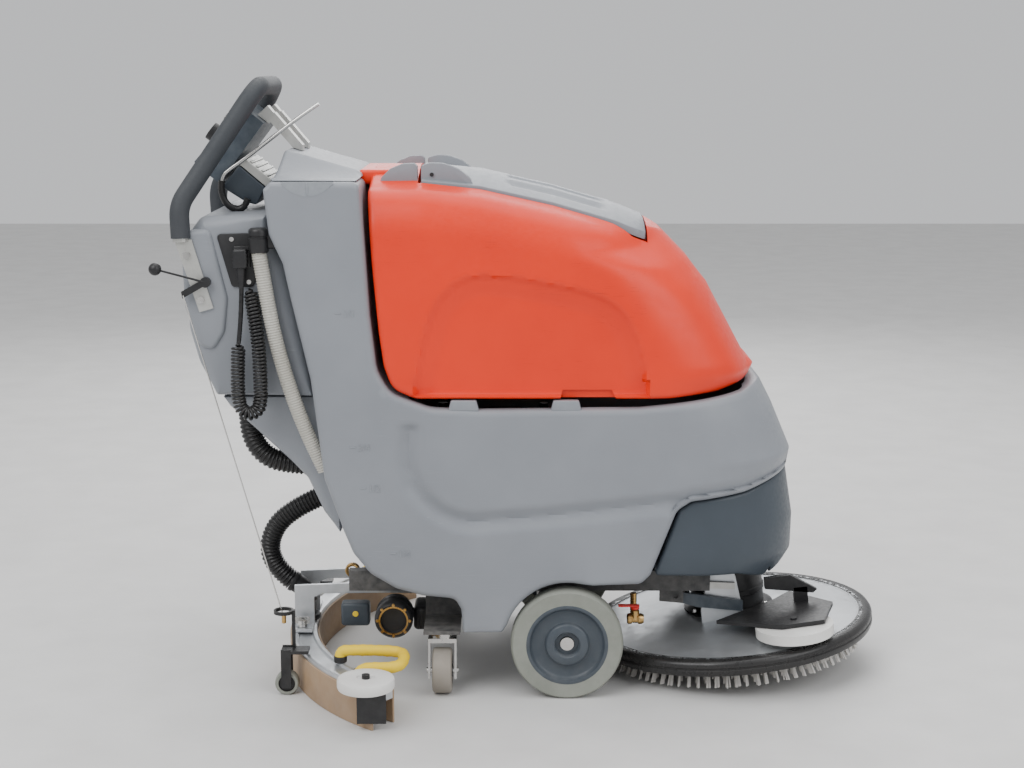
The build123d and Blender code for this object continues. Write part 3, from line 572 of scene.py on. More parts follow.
def lathe(bm, profile, centre, axis="Y", count=72, closed=False):
    # Spins a profile of (radius, along) points about an axis through a centre.
    lines = {"Y": lambda r, a: (r, a, 0), "Z": lambda r, a: (r, 0, a), "X": lambda r, a: (a, r, 0)}
    middle = Vector(centre)
    verts = [bm.verts.new(middle + Vector(lines[axis](r, a))) for r, a in profile]
    pairs = list(zip(verts, verts[1:])) + ([(verts[-1], verts[0])] if closed else [])
    edges = [bm.edges.new(pair) for pair in pairs]
    turned = {"X": (1, 0, 0), "Y": (0, 1, 0), "Z": (0, 0, 1)}[axis]
    bmesh.ops.spin(bm, geom=verts + edges, cent=middle, axis=turned, angle=2 * math.pi, steps=count,
                   use_merge=True, use_duplicate=False)


def joined(*shapes):
    # Puts several shapes into the first.
    first = shapes[0]
    for other in shapes[1:]:
        spare = bpy.data.meshes.new("spare")
        other.to_mesh(spare)
        other.free()
        first.from_mesh(spare)
        bpy.data.meshes.remove(spare)
    return first


def carved(piece, cutters):
    # Takes cutter shapes out of a piece with the exact solver, and applies the result.
    for cutter in cutters:
        bmesh.ops.recalc_face_normals(cutter, faces=cutter.faces[:])
        bmesh.ops.scale(cutter, vec=(mm, mm, mm), verts=cutter.verts[:])
        mesh = bpy.data.meshes.new("cutter")
        cutter.to_mesh(mesh)
        cutter.free()
        tool = bpy.data.objects.new("cutter", mesh)
        bpy.context.collection.objects.link(tool)
        cut = piece.modifiers.new("cut", "BOOLEAN")
        cut.operation, cut.object, cut.solver = "DIFFERENCE", tool, "EXACT"
        result = bpy.data.meshes.new_from_object(piece.evaluated_get(bpy.context.evaluated_depsgraph_get()))
        piece.modifiers.clear()
        old, piece.data = piece.data, result
        bpy.data.meshes.remove(old)
        bpy.data.objects.remove(tool)
        bpy.data.meshes.remove(mesh)
    piece.data.polygons.foreach_set("use_smooth", [True] * len(piece.data.polygons))
    piece.data.set_sharp_from_angle(angle=math.radians(38))

# body

body = {
    "halfWidth": 240, "edge": 11, "cell": 8, "frontRadius": 190,
    "wheel": (66, 100), "arch": 112,
    "front": [(396, 473), (425, 478), (510, 442), (558, 417)],  # height, then how far forward
    "grooveDepth": 11, "grooveReach": 21, "lipDepth": 12, "lipReach": 26,
    "groove": [(-207, 500), (-214, 459), (-213, 425), (-203, 388), (-184, 361), (-158, 340),
               (-130, 327), (-101, 323),
               (32, 334), (179, 350), (262, 360)],
    "lip": [(258, 352), (283, 362), (380, 373), (473, 397)],
}


def bodyOutline():
    wheelX, wheelZ = body["wheel"]
    arch = [(wheelX + body["arch"] * math.cos(math.radians(a)),
             wheelZ + body["arch"] * math.sin(math.radians(a)))
            for a in range(78, 168, 6)]
    over = [(-455, 905, 6), (-443, 918, 8), (-292, 918, 16), (-285, 820, 0), (-277, 690, 0),
            (-266, 592, 60),
            (-243, 553, 50), (-174, 527, 60), (-87, 524, 0), (190, 527, 0), (371, 545, 0),
            (417, 558, 12)]
    nose = [(446, 500, 0), (478, 425, 22), (473, 396, 10), (380, 372, 0), (283, 360, 20),
            (258, 344, 30),
            (213, 227, 16), (196, 210, 20), (110, 207, 8)]
    rear = [(-50, 121, 8), (-119, 121, 5), (-122, 163, 10), (-133, 183, 20), (-191, 189, 40),
            (-237, 202, 40),
            (-282, 229, 40), (-312, 267, 30), (-328, 307, 20), (-360, 401, 30), (-381, 578, 30),
            (-412, 718, 0),
            (-424, 778, 0), (-447, 829, 30)]
    return rounded(over + nose + [(x, z, 0) for x, z in arch] + rear)


def shapeBodySide(bm, half):
    for vert in bm.verts:
        x, y, z = vert.co
        flat = abs(y) > half - 0.5
        frontX = along(body["front"], z)
        width = planWidth(x, frontX, half, body["frontRadius"])
        if flat:
            inward = 0.0
            if z < 520 and x > -240:
                off = lineDistance(x, z, body["groove"])
                ends = ease(z, 500, 492)
                inward = body["grooveDepth"] * max(0.0, 1 - off / body["grooveReach"]) * ends
            if x > 225 and z < 470:
                off = lineDistance(x, z, body["lip"])
                inward = max(inward, body["lipDepth"] * max(0.0, 1 - off / body["lipReach"]))
            width -= inward
        vert.co.y = y * width / half


def makeBody():
    half = body["halfWidth"]
    bm = halfShell(bodyOutline(), half, body["edge"])
    cutAcross(bm, 0, steps(-452, 380, body["cell"]) + steps(384, 474, 5))
    cutAcross(bm, 2, steps(124, 280, 12) + steps(288, 520, body["cell"] * 0.75) + steps(530, 914, 12))
    bothHalves(bm)
    shapeBodySide(bm, half)
    piece = finishPiece("bodyShell", bm, "bodyGrey", "root")
    bay = [(-212, 226, 8), (188, 226, 8), (204, 240, 8), (246, 352, 8), (275, 374, 8), (378, 386, 8),
           (436, 410, 8),
           (392, 560, 0), (392, 660, 0), (-212, 660, 0)]
    bayBm = halfShell(rounded(bay), 218, 10)
    cutAcross(bayBm, 0, steps(200, 430, 8))
    bothHalves(bayBm)
    for vert in bayBm.verts:
        vert.co.y *= planWidth(vert.co.x, along([(410, 436), (560, 392)], vert.co.z), 218, 170) / 218
    under = bmesh.new()
    prism(under, [(-420, 80), (220, 80), (220, 205), (-420, 205)], -185, 185)
    carved(piece, [bayBm, under])
    return piece


def makeBulge():
    # The lower rear of the water tank, under the housing.
    outline = [(-543, 539, 3), (-532, 519, 12), (-425, 417, 20), (-397, 387, 20), (-369, 325, 20),
               (-337, 285, 4),
               (-345, 539, 3)]
    bm = halfShell(rounded(outline), 180, 22)
    cutAcross(bm, 0, steps(-536, -350, 14))
    bothHalves(bm)
    finishPiece("tankBulge", bm, "bodyGrey", "root")


def makeTankRests():
    # Four pads on the rim that carry the recovery tank.
    for index, (x, side) in enumerate(((-116, -1), (62, -1), (-116, 1), (62, 1))):
        outline = [(x - 27, 522), (x + 27, 522), (x + 22, 541), (x - 22, 541)]
        low, high = sorted((side * 236, side * 222))
        finishPiece(f"tankRest{index + 1}", softPrism(outline, low, high, 2.5), "bodyGrey", "root")


def makeLevelMarks():
    # Raised level marks on the right side of the column.
    marks = {"1/1": (-322, 688), "3/4": (-300, 453), "1/2": (-283, 380), "1/4": (-232, 262)}
    for label, (x, z) in marks.items():
        text = bpy.data.curves.new("levelText", "FONT")
        text.body, text.size, text.extrude = label, 0.017, 0.0007
        holder = bpy.data.objects.new("levelText", text)
        bpy.context.collection.objects.link(holder)
        mesh = bpy.data.meshes.new_from_object(holder.evaluated_get(bpy.context.evaluated_depsgraph_get()))
        bpy.data.objects.remove(holder)
        bm = bmesh.new()
        bm.from_mesh(mesh)
        bmesh.ops.scale(bm, vec=(1000, 1000, 1000), verts=bm.verts[:])
        bmesh.ops.rotate(bm, verts=bm.verts[:], cent=(0, 0, 0),
                         matrix=Matrix.Rotation(math.radians(90), 3, "X"))
        bmesh.ops.translate(bm, verts=bm.verts[:], vec=(x, -240.2, z))
        dash = softBlock((x - 14, -240.9, z + 5), (x - 3, -239.5, z + 7.5), 0.5, 2)
        finishPiece("levelMark" + label.replace("/", "of"), joined(bm, dash), "bodyGrey", "root",
                    merge=0.001)


bodyPiece = makeBody()
makeBulge()
makeTankRests()
makeLevelMarks()
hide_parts("solution_tank")
print("body made")

# covers and rear housing


def makeFrontCover():
    cover = {"halfWidth": 227, "wall": 5}
    outline = [(262, 342, 10), (286, 358, 20), (382, 370, 0), (472, 393, 8), (487, 300, 60),
               (486, 240, 20),
               (470, 214, 30), (430, 200, 60), (372, 219, 40), (219, 221, 10)]
    frontLine = [(200, 466), (238, 486), (300, 487), (393, 472)]
    bm = halfShell(rounded(outline), cover["halfWidth"], 7)
    cutAcross(bm, 0, steps(226, 400, 12) + steps(404, 484, 5))
    cutAcross(bm, 2, steps(210, 384, 12))
    bothHalves(bm)
    for vert in bm.verts:
        frontX = along(frontLine, vert.co.z)
        width = planWidth(vert.co.x, frontX, cover["halfWidth"], 185)
        width -= 9 * ease(vert.co.z, 260, 200)
        vert.co.y *= width / cover["halfWidth"]
    piece = finishPiece("frontCoverShell", bm, "slatePlastic", "root", ("front_cover",))
    hollow = bmesh.new()
    prism(hollow, [(200, 180), (436, 180), (438, 300), (432, 372), (382, 362), (290, 349), (268, 336),
                   (226, 228)],
          -150, 150)
    carved(piece, [hollow])


def makeConsoleCover():
    bm = bmesh.new()
    base = [bm.verts.new((x, y, 919)) for x,
            y in ((-446, -229), (-292, -229), (-292, 229), (-446, 229))]
    face = bm.faces.new(base)
    raised = movedVerts(bmesh.ops.extrude_face_region(bm, geom=[face]))
    for vert in raised:
        front = vert.co.x > -350
        vert.co.x = -302 if front else -430
        vert.co.z = 931 if front else 968
        vert.co.y = math.copysign(118, vert.co.y)
    softened(bm, 7, 4, 10)
    # The near faces are slightly hollow between the rim and the ridge.
    cutAcross(bm, 1, steps(-226, -118, 12) + steps(118, 226, 12))
    cutAcross(bm, 0, steps(-440, -296, 12))
    for vert in bm.verts:
        x, y, z = vert.co
        span = (abs(y) - 118) / 111
        if 0 < span < 1 and z > 922:
            vert.co.z -= 9 * math.sin(math.pi * span) * ease(z, 921, 930)
    finishPiece("consoleCap", bm, "bodyGrey", "root", ("console_cover",))
    for side, name in bothSides:
        # The half-moon finger scoop under the rim, with its stiffening rib.
        lens = bmesh.new()
        arc = [(-379 + 61 * math.cos(t), 968 + 74 * math.sin(t))
               for t in (math.radians(a) for a in range(222, 319, 4))]
        prism(lens, [(x, max(z, 894)) for x, z in arc], side * 240.4, side * 239.2)
        rib = softBlock((-381, min(side * 241.5, side * 239), 896),
                        (-377, max(side * 241.5, side * 239), 917), 1, 2)
        finishPiece("scoopRib" + name, joined(lens, rib), "bodyGrey",
                    "root")


def makeRearHousing():
    outline = [(-455, 860, 8), (-570, 856, 24), (-599, 818, 30), (-597, 660, 60), (-581, 600, 60),
               (-551, 541, 10),
               (-381, 541, 3), (-386, 578, 0), (-415, 718, 0), (-427, 778, 0), (-450, 829, 20)]
    bm = halfShell(rounded(outline), 198, 26)
    cutAcross(bm, 0, steps(-590, -400, 16))
    cutAcross(bm, 2, steps(550, 850, 16))
    bothHalves(bm)
    finishPiece("rearHousingShell", bm, "bodyGrey", "root", ("rear_housing",))
    # The boss that each side plate is bolted to.
    boss = [(-604, 832, 14), (-552, 836, 16), (-524, 715, 30), (-531, 655, 30), (-552, 622, 22),
            (-577, 632, 30),
            (-600, 700, 20)]
    for side, name in bothSides:
        low, high = sorted((side * 180, side * 204.6))
        bm = softPrism(rounded(boss), low, high, 9, 4, angle=50)
        finishPiece("plateBoss" + name, bm, "bodyGrey", "root")


makeFrontCover()
makeConsoleCover()
makeRearHousing()
print("covers made")

# recovery tank and lid

tank = {
    "halfWidth": 235, "edge": 9, "frontRadius": 190, "shoulderDrop": 80, "shoulderPull": 58,
    "crown": 30,
    "crownReach": 168,
    "top": [(-284, 905), (-188, 906), (-87, 895), (39, 867), (146, 836), (234, 800), (284, 766),
            (318, 730), (391, 594)],
    "front": [(545, 392), (578, 411), (594, 409), (640, 386), (700, 352), (730, 336), (768, 306),
              (800, 250)],
    "arch": [(-205, 530), (-200, 575), (-188, 640), (-176, 684), (-160, 716), (-134, 743), (-108, 756),
             (-80, 760),
             (-30, 756), (30, 746), (90, 733), (128, 720), (154, 702), (172, 678), (188, 640),
             (198, 600), (206, 530)],
    "archDepth": 18, "archSlope": 42,
}


def shapeTank(bm):
    half = tank["halfWidth"]
    for vert in bm.verts:
        x, y, z = vert.co
        frontX = along(tank["front"], z)
        width = planWidth(x, max(frontX, x), half, tank["frontRadius"])
        below = along(tank["top"], x) - z
        if x > 230:
            below = min(below, 400)
        lean = 14 * ease(z, 660, 900) + tank["shoulderPull"] * shoulder(below)
        width = max(40.0, width - lean)
        if abs(y) > half - 0.5 and z < 770:
            inside = insideLine(x, z, tank["arch"])
            if inside:
                off = lineDistance(x, z, tank["arch"][1:-1])
                lip = 0.45 * min(1.0, off / 6.5)
                rise = lip + 0.55 * ease(off, 4, tank["archSlope"])
                width -= tank["archDepth"] * rise * ease(z, 540, 552)
        vert.co.y = y * width / half
        crown = max(0.0, 1 - (vert.co.y / tank["crownReach"]) ** 2)
        if below < 40:
            vert.co.z += tank["crown"] * crown * ease(below, 40, 0) * ease(x, 330, 200)


def shoulder(below):
    # A quarter-ellipse pull-in over the last stretch under the top edge.
    share = max(0.0, min(1.0, 1 - below / tank["shoulderDrop"]))
    return 1 - math.sqrt(1 - share**2 * 0.999)


def makeTank():
    top = [(x, z, 0) for x, z in tank["top"][1:-1]]
    outline = rounded([(-281, 905, 10), *top, (391, 594, 26), (412, 577, 12), (396, 562, 12),
                       (330, 549, 40), (243, 543, 0),
                       (-200, 543, 40), (-240, 560, 40), (-254, 600, 40), (-262, 660, 0),
                       (-273, 780, 0)])
    bm = halfShell(outline, tank["halfWidth"], tank["edge"])
    cutAcross(bm, 0, steps(-276, 240, 6.5) + steps(246, 408, 4.5))
    cutAcross(bm, 2, steps(552, 900, 6.5))
    cutAcross(bm, 1, steps(-210, -15, 15))
    bothHalves(bm)
    shapeTank(bm)
    piece = finishPiece("recoveryTankShell", bm, "tankRed", "recovery_tank", ("recovery_tank",), 50)
    notch = bmesh.new()
    prism(notch, [(46, 530), (157, 530), (141, 557), (57, 557)], -250, -212)
    carved(piece, [notch, lidWell()])


def lidWell():
    # The hollow under the lid, open into the tank.
    line = [(x, z) for x, z in tank["top"] if -190 <= x <= 200]
    bm = bmesh.new()
    prism(bm, [(-196, 980), (-196, 900)] + [(x, z - 4) for x, z in line] + [(207, 805), (207, 980)],
          -153, 153)
    return bm


makeTank()
print("tank made")

# lid and its hinge humps


def makeLid():
    line = [(x, z) for x, z in tank["top"] if -180 < x < 200]
    near = [(-190, 905)] + line + [(204, 813)]
    bm = bmesh.new()
    under = [(x, z - 9) for x, z in near]
    upper = [(x, z + 5) for x, z in near]
    prism(bm, under + upper[::-1], -150, 150)
    cutAcross(bm, 0, steps(-186, 200, 7))
    cutAcross(bm, 1, steps(-146, 146, 7))
    for vert in bm.verts:
        x, y, z = vert.co
        crown = 1 - (y / 168) ** 2
        tip = max(0.0, min(30.0, x - 174))
        if x > 174:
            vert.co.y = y * (120 + math.sqrt(900 - tip**2)) / 150
        vert.co.z += 27 * crown
        for groove in (-90, -30, 30, 90):
            across = ease(abs(y - groove), 17, 11)
            ends = ease(x, -44, -30) * ease(x, 136, 122)
            if z > along(near, x):
                vert.co.z -= 7 * across * ends
    bmesh.ops.recalc_face_normals(bm, faces=bm.faces[:])
    rim = [edge for edge in bm.edges if len(edge.link_faces) == 2 and edge.calc_face_angle(0) > 1.1]
    bmesh.ops.bevel(bm, geom=rim, offset=2.5, segments=3, profile=0.5, affect="EDGES",
                    clamp_overlap=True)
    finishPiece("lidPanel", bm, "bodyGrey", "tank_lid", ("tank_lid",))


def makeLidHumps():
    wing = [(-191, 905, 3), (-191, 938, 5), (-174, 943, 20), (-152, 942, 30), (-126, 933, 30),
            (-106, 917, 20),
            (-94, 899, 3), (-150, 897, 0)]
    fixed = [(-263, 903, 3), (-261, 917, 12), (-246, 932, 20), (-224, 941, 20), (-203, 942, 6),
             (-197, 937, 5),
             (-197, 903, 2)]
    for side, name in bothSides:
        for part, outline, body in (("Wing", wing, "tank_lid"), ("Hump", fixed, "recovery_tank")):
            low, high = sorted((side * 121, side * 141))
            shapes = [softPrism(rounded(outline), low, high, 1.5)]
            for rib in (122.3, 139.7):
                # Two raised ribs run along the rim.
                a, b = sorted((side * (rib - 2.4), side * (rib + 2.4)))
                grown = [(x, z + (2.2 if z > 910 else -1), r) for x, z, r in outline]
                shapes.append(softPrism(rounded(grown), a, b, 1.0, 2))
            finishPiece(f"lid{part}{name}", joined(*shapes), "bodyGrey", body)
    pin = bmesh.new()
    for side in (-1, 1):
        lathe(pin, [(0, side * 143), (3.6, side * 143), (3.6, side * 145), (0, side * 145)],
              (-172, 0, 925), "Y", 24)
    finishPiece("hingePins", pin, "blackPlastic", "recovery_tank")
    block = softBlock((-303, -104, 905), (-246, 104, 931), 6, 4)
    finishPiece("tankHandle", block, "tankRed", "recovery_tank")


makeLid()
makeLidHumps()
print("lid made")

# wheels


def makeDriveWheels():
    # Tyre, and dished rim with a raised hub ring.
    for side, name in bothSides:
        body = "wheel_right" if side < 0 else "wheel_left"
        centre = (66, side * 223, 100)
        tyre = bmesh.new()
        section = [(72, -19), (96, -20), (99, -17), (100, -12), (100, 12), (99, 17), (96, 20), (72, 19),
                   (70, 8), (70, -8)]
        lathe(tyre, [(r, side * a) for r, a in section], centre, "Y", 112, True)
        finishPiece("driveTyre" + name, tyre, "greyTyre", body, ("wheel_tyre_" + name.lower(),))
        rim = bmesh.new()
        dish = [(13, -12), (73, -16), (73, 19), (70, 20), (67, 19), (64, 13), (60, 10), (44, 9),
                (40, 11), (38, 17),
                (35, 19), (24, 19), (21, 16), (20, 8), (13, 8)]
        lathe(rim, [(r, side * a) for r, a in dish], centre, "Y", 96, True)
        finishPiece("driveRim" + name, rim, "slatePlastic", body, ("wheel_rim_" + name.lower(),))


casters = {"x": -157, "y": 185, "trail": 20, "radius": 41, "width": 35}


def makeCasterWheels():
    for side, name in bothSides:
        roll = "caster_roll_" + name.lower()
        centre = (casters["x"], side * casters["y"] + side * casters["trail"], casters["radius"])
        tread = bmesh.new()
        half, r = casters["width"] / 2, casters["radius"]
        lathe(tread, [(r * 0.74, -half), (r - 5, -half), (r - 1.5, -half + 2), (r, -half + 6),
                      (r, half - 6),
                      (r - 1.5, half - 2), (r - 5, half), (r * 0.74, half)], centre, "X", 72, True)
        finishPiece("casterTread" + name, tread, "casterTread", roll, ("caster_wheel_" + name.lower(),))
        hub = bmesh.new()
        lathe(hub, [(5.3, -half - 1), (12, -half - 1), (14, -half + 3), (r * 0.7, -half + 4),
                    (r * 0.745, -half + 0.5),
                    (r * 0.745, half - 0.5), (r * 0.7, half - 4), (14, half - 3), (12, half + 1),
                    (5.3, half + 1)],
              centre, "X", 64, True)
        finishPiece("casterHub" + name, hub, "blackPlastic", roll)


makeDriveWheels()
makeCasterWheels()
print("wheels made")

# cords and hoses

routes = {
    "cordLead": [(-498, -218, 736), (-499, -219, 688), (-504, -228, 640)],
    "curlyCord": [(-504, -228, 640), (-507, -231, 590), (-506, -232, 518), (-468, -232, 518),
                  (-467, -231, 585),
                  (-471, -226, 660), (-484, -214, 733)],
    "drainHose": [(-466, -220, 797), (-456, -220, 728), (-441, -219, 640), (-415, -216, 545),
                  (-386, -211, 465),
                  (-362, -206, 412)],
    "dumpHose": [(-503, -125, 534), (-507, -125, 478), (-490, -125, 428), (-447, -125, 403),
                 (-374, -125, 402)],
    "suctionHose": [(-450.5, 0, 146.5), (-487, 0, 176), (-493, 0, 232), (-455, 0, 284), (-392, 0, 312)],
}


def smoothLine(name, points, thick):
    # A NURBS line through the route, in metres.
    curve = bpy.data.curves.new(name, "CURVE")
    curve.dimensions, curve.resolution_u = "3D", 12
    spline = curve.splines.new("NURBS")
    spline.points.add(len(points) - 1)
    for point, place in zip(spline.points, points):
        point.co = (*(value * mm for value in place), 1)
    spline.order_u, spline.use_endpoint_u = 3, True
    curve.bevel_depth, curve.bevel_resolution = thick * mm, 8
    curve.use_fill_caps = True
    holder = bpy.data.objects.new(name, curve)
    bpy.context.collection.objects.link(holder)
    return holder


def linePoints(name, points):
    # The places that the smooth line passes through, in millimetres.
    holder = smoothLine(name, points, 0)
    mesh = bpy.data.meshes.new_from_object(holder.evaluated_get(bpy.context.evaluated_depsgraph_get()))
    places = [vert.co / mm for vert in mesh.vertices]
    curve = holder.data
    bpy.data.objects.remove(holder)
    bpy.data.curves.remove(curve)
    bpy.data.meshes.remove(mesh)
    return places


def lineLength(places):
    return sum((b - a).length for a, b in zip(places, places[1:]))


def evenly(places, count):
    # Even places along a line, each with its direction.
    reach, whole, at = [0.0], lineLength(places), 0
    for a, b in zip(places, places[1:]):
        reach.append(reach[-1] + (b - a).length)
    out = []
    for index in range(count + 1):
        want = whole * index / count
        while at < len(places) - 2 and reach[at + 1] < want:
            at += 1
        share = (want - reach[at]) / max(1e-6, reach[at + 1] - reach[at])
        out.append((places[at].lerp(places[at + 1], share), (places[at + 1] - places[at]).normalized()))
    return out


def sweepRings(places, radii, around=24):
    # A closed skin of rings that never twist, one radius for each place.
    bm = bmesh.new()
    side = places[0][1].cross(Vector((0.3, 1, 0.2))).normalized()
    rings = []
    for (centre, way), radius in zip(places, radii):
        side = (side - way * side.dot(way)).normalized()
        other = way.cross(side)
        rings.append([bm.verts.new(centre + (side * math.cos(t) + other * math.sin(t)) * radius)
                      for t in (2 * math.pi * step / around for step in range(around))])
    for low, high in zip(rings, rings[1:]):
        for step in range(around):
            after = (step + 1) % around
            bm.faces.new((low[step], low[after], high[after], high[step]))
    bm.faces.new(rings[0][::-1])
    bm.faces.new(rings[-1])
    return bm


def makeCorrugatedHose(name, finish, body, replaced, outer, depth, pitch, bends=None):
    line = linePoints(name + "Line", routes[name])
    whole = lineLength(line)
    ribs = round(whole / pitch)
    places = evenly(line, ribs * 8)
    radii = [outer - depth * (0.5 - 0.5 * math.cos(2 * math.pi * (index % 8) / 8)) ** 1.4
             for index in range(len(places))]
    return finishPiece(name, sweepRings(places, radii), finish, body, replaced, 60, 0, bends)


def makeHoses():
    dump = makeCorrugatedHose("dumpHose", "blackRubber", "root", ("dump_hose",), 19.5, 2.6, 7.5)
    bends = ("root", "squeegee", (-0.392, 0.0, 0.312), (-0.4505, 0.0, 0.1465))
    suction = makeCorrugatedHose("suctionHose", "blackRubber", "root", ("suction_hose",), 19.5, 2.4,
                                 7.0, bends)
    drain = makeCorrugatedHose("drainHose", "clearHose", "root", ("drain_hose",), 13.3, 1.2, 4.6)
    cap = bmesh.new()
    lathe(cap, [(0, 839), (13, 839), (16, 837), (17, 834), (17, 826), (15.6, 825), (15.6, 822),
                (17, 821), (17, 800),
                (16, 797), (12.9, 797), (12.9, 805), (0, 805)], (-466, -220, 0), "Z", 48)
    capPiece = finishPiece("drainCap", cap, "blackPlastic", "root", ("drain_cap",))
    print("hose lengths", [round(lineLength(linePoints("probe", routes[key])), 1) for key in routes])


def finishCord(holder, finish, body, node):
    holder.data.materials.append(made[finish])
    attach(holder, body)
    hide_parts(node)


def makeCurlyCord():
    line = linePoints("curlLine", routes["curlyCord"])
    whole = lineLength(line)
    turns, wire, outer, perTurn = 58, 2.5, 13.0, 12
    places = evenly(line, turns * perTurn)
    side = places[0][1].cross(Vector((0, 1, 0.1))).normalized()
    points = []
    for index, (centre, way) in enumerate(places):
        side = (side - way * side.dot(way)).normalized()
        turn = 2 * math.pi * index / perTurn
        ends = ease(min(index, len(places) - 1 - index), 0, perTurn * 1.5)
        reach = (outer - wire) * (0.05 + 0.95 * ends) * (1 + 0.03 * math.sin(index * 0.37))
        points.append(centre + (side * math.cos(turn) + way.cross(side) * math.sin(turn)) * reach)
    points[0], points[-1] = Vector(routes["curlyCord"][0]), Vector(routes["curlyCord"][-1])
    curl = smoothLine("curlyCord", [tuple(point) for point in points], wire)
    curl.data.resolution_u, curl.data.bevel_resolution = 2, 3
    finishCord(curl, "blackRubber", "root", "curly_cord")
    drawn = lineLength(linePoints("probe", [tuple(point) for point in points])) * mm
    print("curly cord", round(whole, 1), "along,", round(drawn, 3), "of wire")


def makeCordLead():
    lead = smoothLine("cordLead", routes["cordLead"], 4)
    finishCord(lead, "blackRubber", "root", "cord_lead")
    body = softBlock((-510, -230, 770), (-486, -208, 803), 4, 4)
    relief = bmesh.new()
    lathe(relief, [(0, 736), (4.6, 736), (5.6, 740), (5.2, 742), (6.2, 746), (5.6, 748), (6.8, 752),
                   (6.2, 754),
                   (7.4, 760), (7.8, 771), (0, 771)], (-498, -218, 0), "Z", 40)
    ribs = [softBlock((-511, -226, z), (-485, -212, z + 3), 1, 2) for z in (778, 785, 792)]
    plug = finishPiece("cordPlug", joined(body, relief, *ribs), "blackPlastic", "root", ("cord_plug",))


def makeLiftCable():
    # Twisted steel wire from the lever to the squeegee arm's eye, with its ferrule.
    top, low = Vector((-598, -222.2, 723)), Vector((-441, -202, 138))
    curve = [tuple(top.lerp(low, share)) for share in (0, 0.34, 0.67, 1)]
    wire = smoothLine("liftWire", curve, 1.2)
    finishCord(wire, "brightSteel", "lift_cable", "lift_cable")
    ferrule = bmesh.new()
    lathe(ferrule, [(0, 128), (3, 128), (4, 129), (4, 142), (3, 143), (0, 143)], (-441, -202, 0), "Z",
          32)
    end = finishPiece("liftFerrule", ferrule, "brass", "lift_cable")


makeHoses()
makeCurlyCord()
makeCordLead()
makeLiftCable()
print("cords made")

# deck and brush

deck = {"x": 390, "tilt": 6, "pivot": (165, 0, 0), "bumper": 268, "tufts": 84}


def tiltDeck(bm):
    # The deck rides nose up about the driving axle's foot.
    turn = Matrix.Rotation(math.radians(-deck["tilt"]), 3, "Y")
    bmesh.ops.rotate(bm, verts=bm.verts[:], cent=deck["pivot"], matrix=turn)
    return bm


def makeDeck():
    plate = bmesh.new()
    profile = [(0, 76), (104, 76), (116, 74), (150, 67), (205, 60), (236, 57), (243, 56), (246, 58),
               (251, 58),
               (251, 50), (0, 50)]
    lathe(plate, profile, (deck["x"], 0, 0), "Z", 144)
    cheeks = []
    for side in (-1, 1):
        low, high = sorted((side * 84, side * 92))
        outline = [(330, 62, 4), (330, 100, 10), (352, 172, 12), (398, 168, 12), (412, 62, 4)]
        cheeks.append(softPrism(rounded(outline), low, high, 1.5))
    finishPiece("deckPlate", tiltDeck(joined(plate, *cheeks)), "castAluminium", "deck", ("deck_plate",))
    bumper = bmesh.new()
    outer = deck["bumper"]
    section = [(outer - 24, 58), (outer - 8, 58), (outer - 3, 56), (outer, 51), (outer, 46),
               (outer - 1.8, 44.5),
               (outer - 1.8, 42.5), (outer, 41), (outer, 36), (outer - 2, 31), (outer - 6, 29),
               (outer - 24, 29)]
    lathe(bumper, section, (deck["x"], 0, 0), "Z", 176, True)
    finishPiece("deckBumper", tiltDeck(bumper), "blackRubber", "deck", ("deck_bumper",))


def makeBrush():
    # A backing disc with rings of flared bristle tufts.
    bm = bmesh.new()
    lathe(bm, [(0, 49), (222, 49), (226, 46), (226, 41), (0, 41)], (deck["x"], 0, 0), "Z", 120)
    finishPiece("brushBlock", tiltDeck(bm), "blackPlastic", "brush")
    tufts = bmesh.new()
    fibre = 0
    for ring, radius in enumerate((220, 203, 186, 169, 152)):
        count = round(deck["tufts"] * radius / 220)
        for index in range(count):
            turn = 2 * math.pi * (index + 0.5 * (ring % 2)) / count
            for strand in range(7 if ring < 2 else 3):
                fibre += 1
                sway = noise.noise_vector(Vector((fibre * 1.37, 0.3, 0.7)))
                around = turn + 0.010 * sway.x * (220 / radius)
                reach = radius + 3.0 * sway.y
                root = Vector((deck["x"] + reach * math.cos(around), reach * math.sin(around), 43))
                flare = 20 - 5 * ring + 5 * sway.y
                tip = root + Vector((flare * math.cos(turn) + 5 * sway.x,
                                     flare * math.sin(turn) + 5 * sway.z, -42.6))
                ends = []
                for place, size in ((root, 2.0), (tip, 1.5)):
                    ends.append([tufts.verts.new(place + Vector((size * math.cos(a), size * math.sin(a), 0)))
                                 for a in (0, 2.094, 4.189)])
                for step in range(3):
                    after = (step + 1) % 3
                    tufts.faces.new((ends[0][step], ends[1][step], ends[1][after], ends[0][after]))
                tufts.faces.new(ends[1])
    for vert in tiltDeck(tufts).verts:
        # The rear tufts stop at the floor.
        vert.co.z = max(vert.co.z, 0.3)
    finishPiece("brushBristles", tufts, "bristle", "brush", ("brush",), 38, 0)


def makeBrushMotor():
    case = bmesh.new()
    profile = [(0, 190), (58, 190), (64, 188), (68, 182), (68, 120), (70, 118), (70, 110), (68, 108),
               (68, 84),
               (76, 82), (84, 79), (84, 76), (0, 76)]
    lathe(case, profile, (deck["x"], 0, 0), "Z", 96)
    bolts = []
    for turn in range(0, 360, 60):
        x = deck["x"] + 78 * math.cos(math.radians(turn + 30))
        y = 78 * math.sin(math.radians(turn + 30))
        bolt = bmesh.new()
        lathe(bolt, [(0, 86), (4.5, 86), (5, 85), (5, 79), (0, 79)], (x, y, 0), "Z", 6)
        bolts.append(bolt)
    finishPiece("brushMotorCase", tiltDeck(case), "blackPlastic", "deck", ("brush_motor",))
    finishPiece("brushMotorBolts", tiltDeck(joined(*bolts)), "brightSteel", "deck")


# squeegee

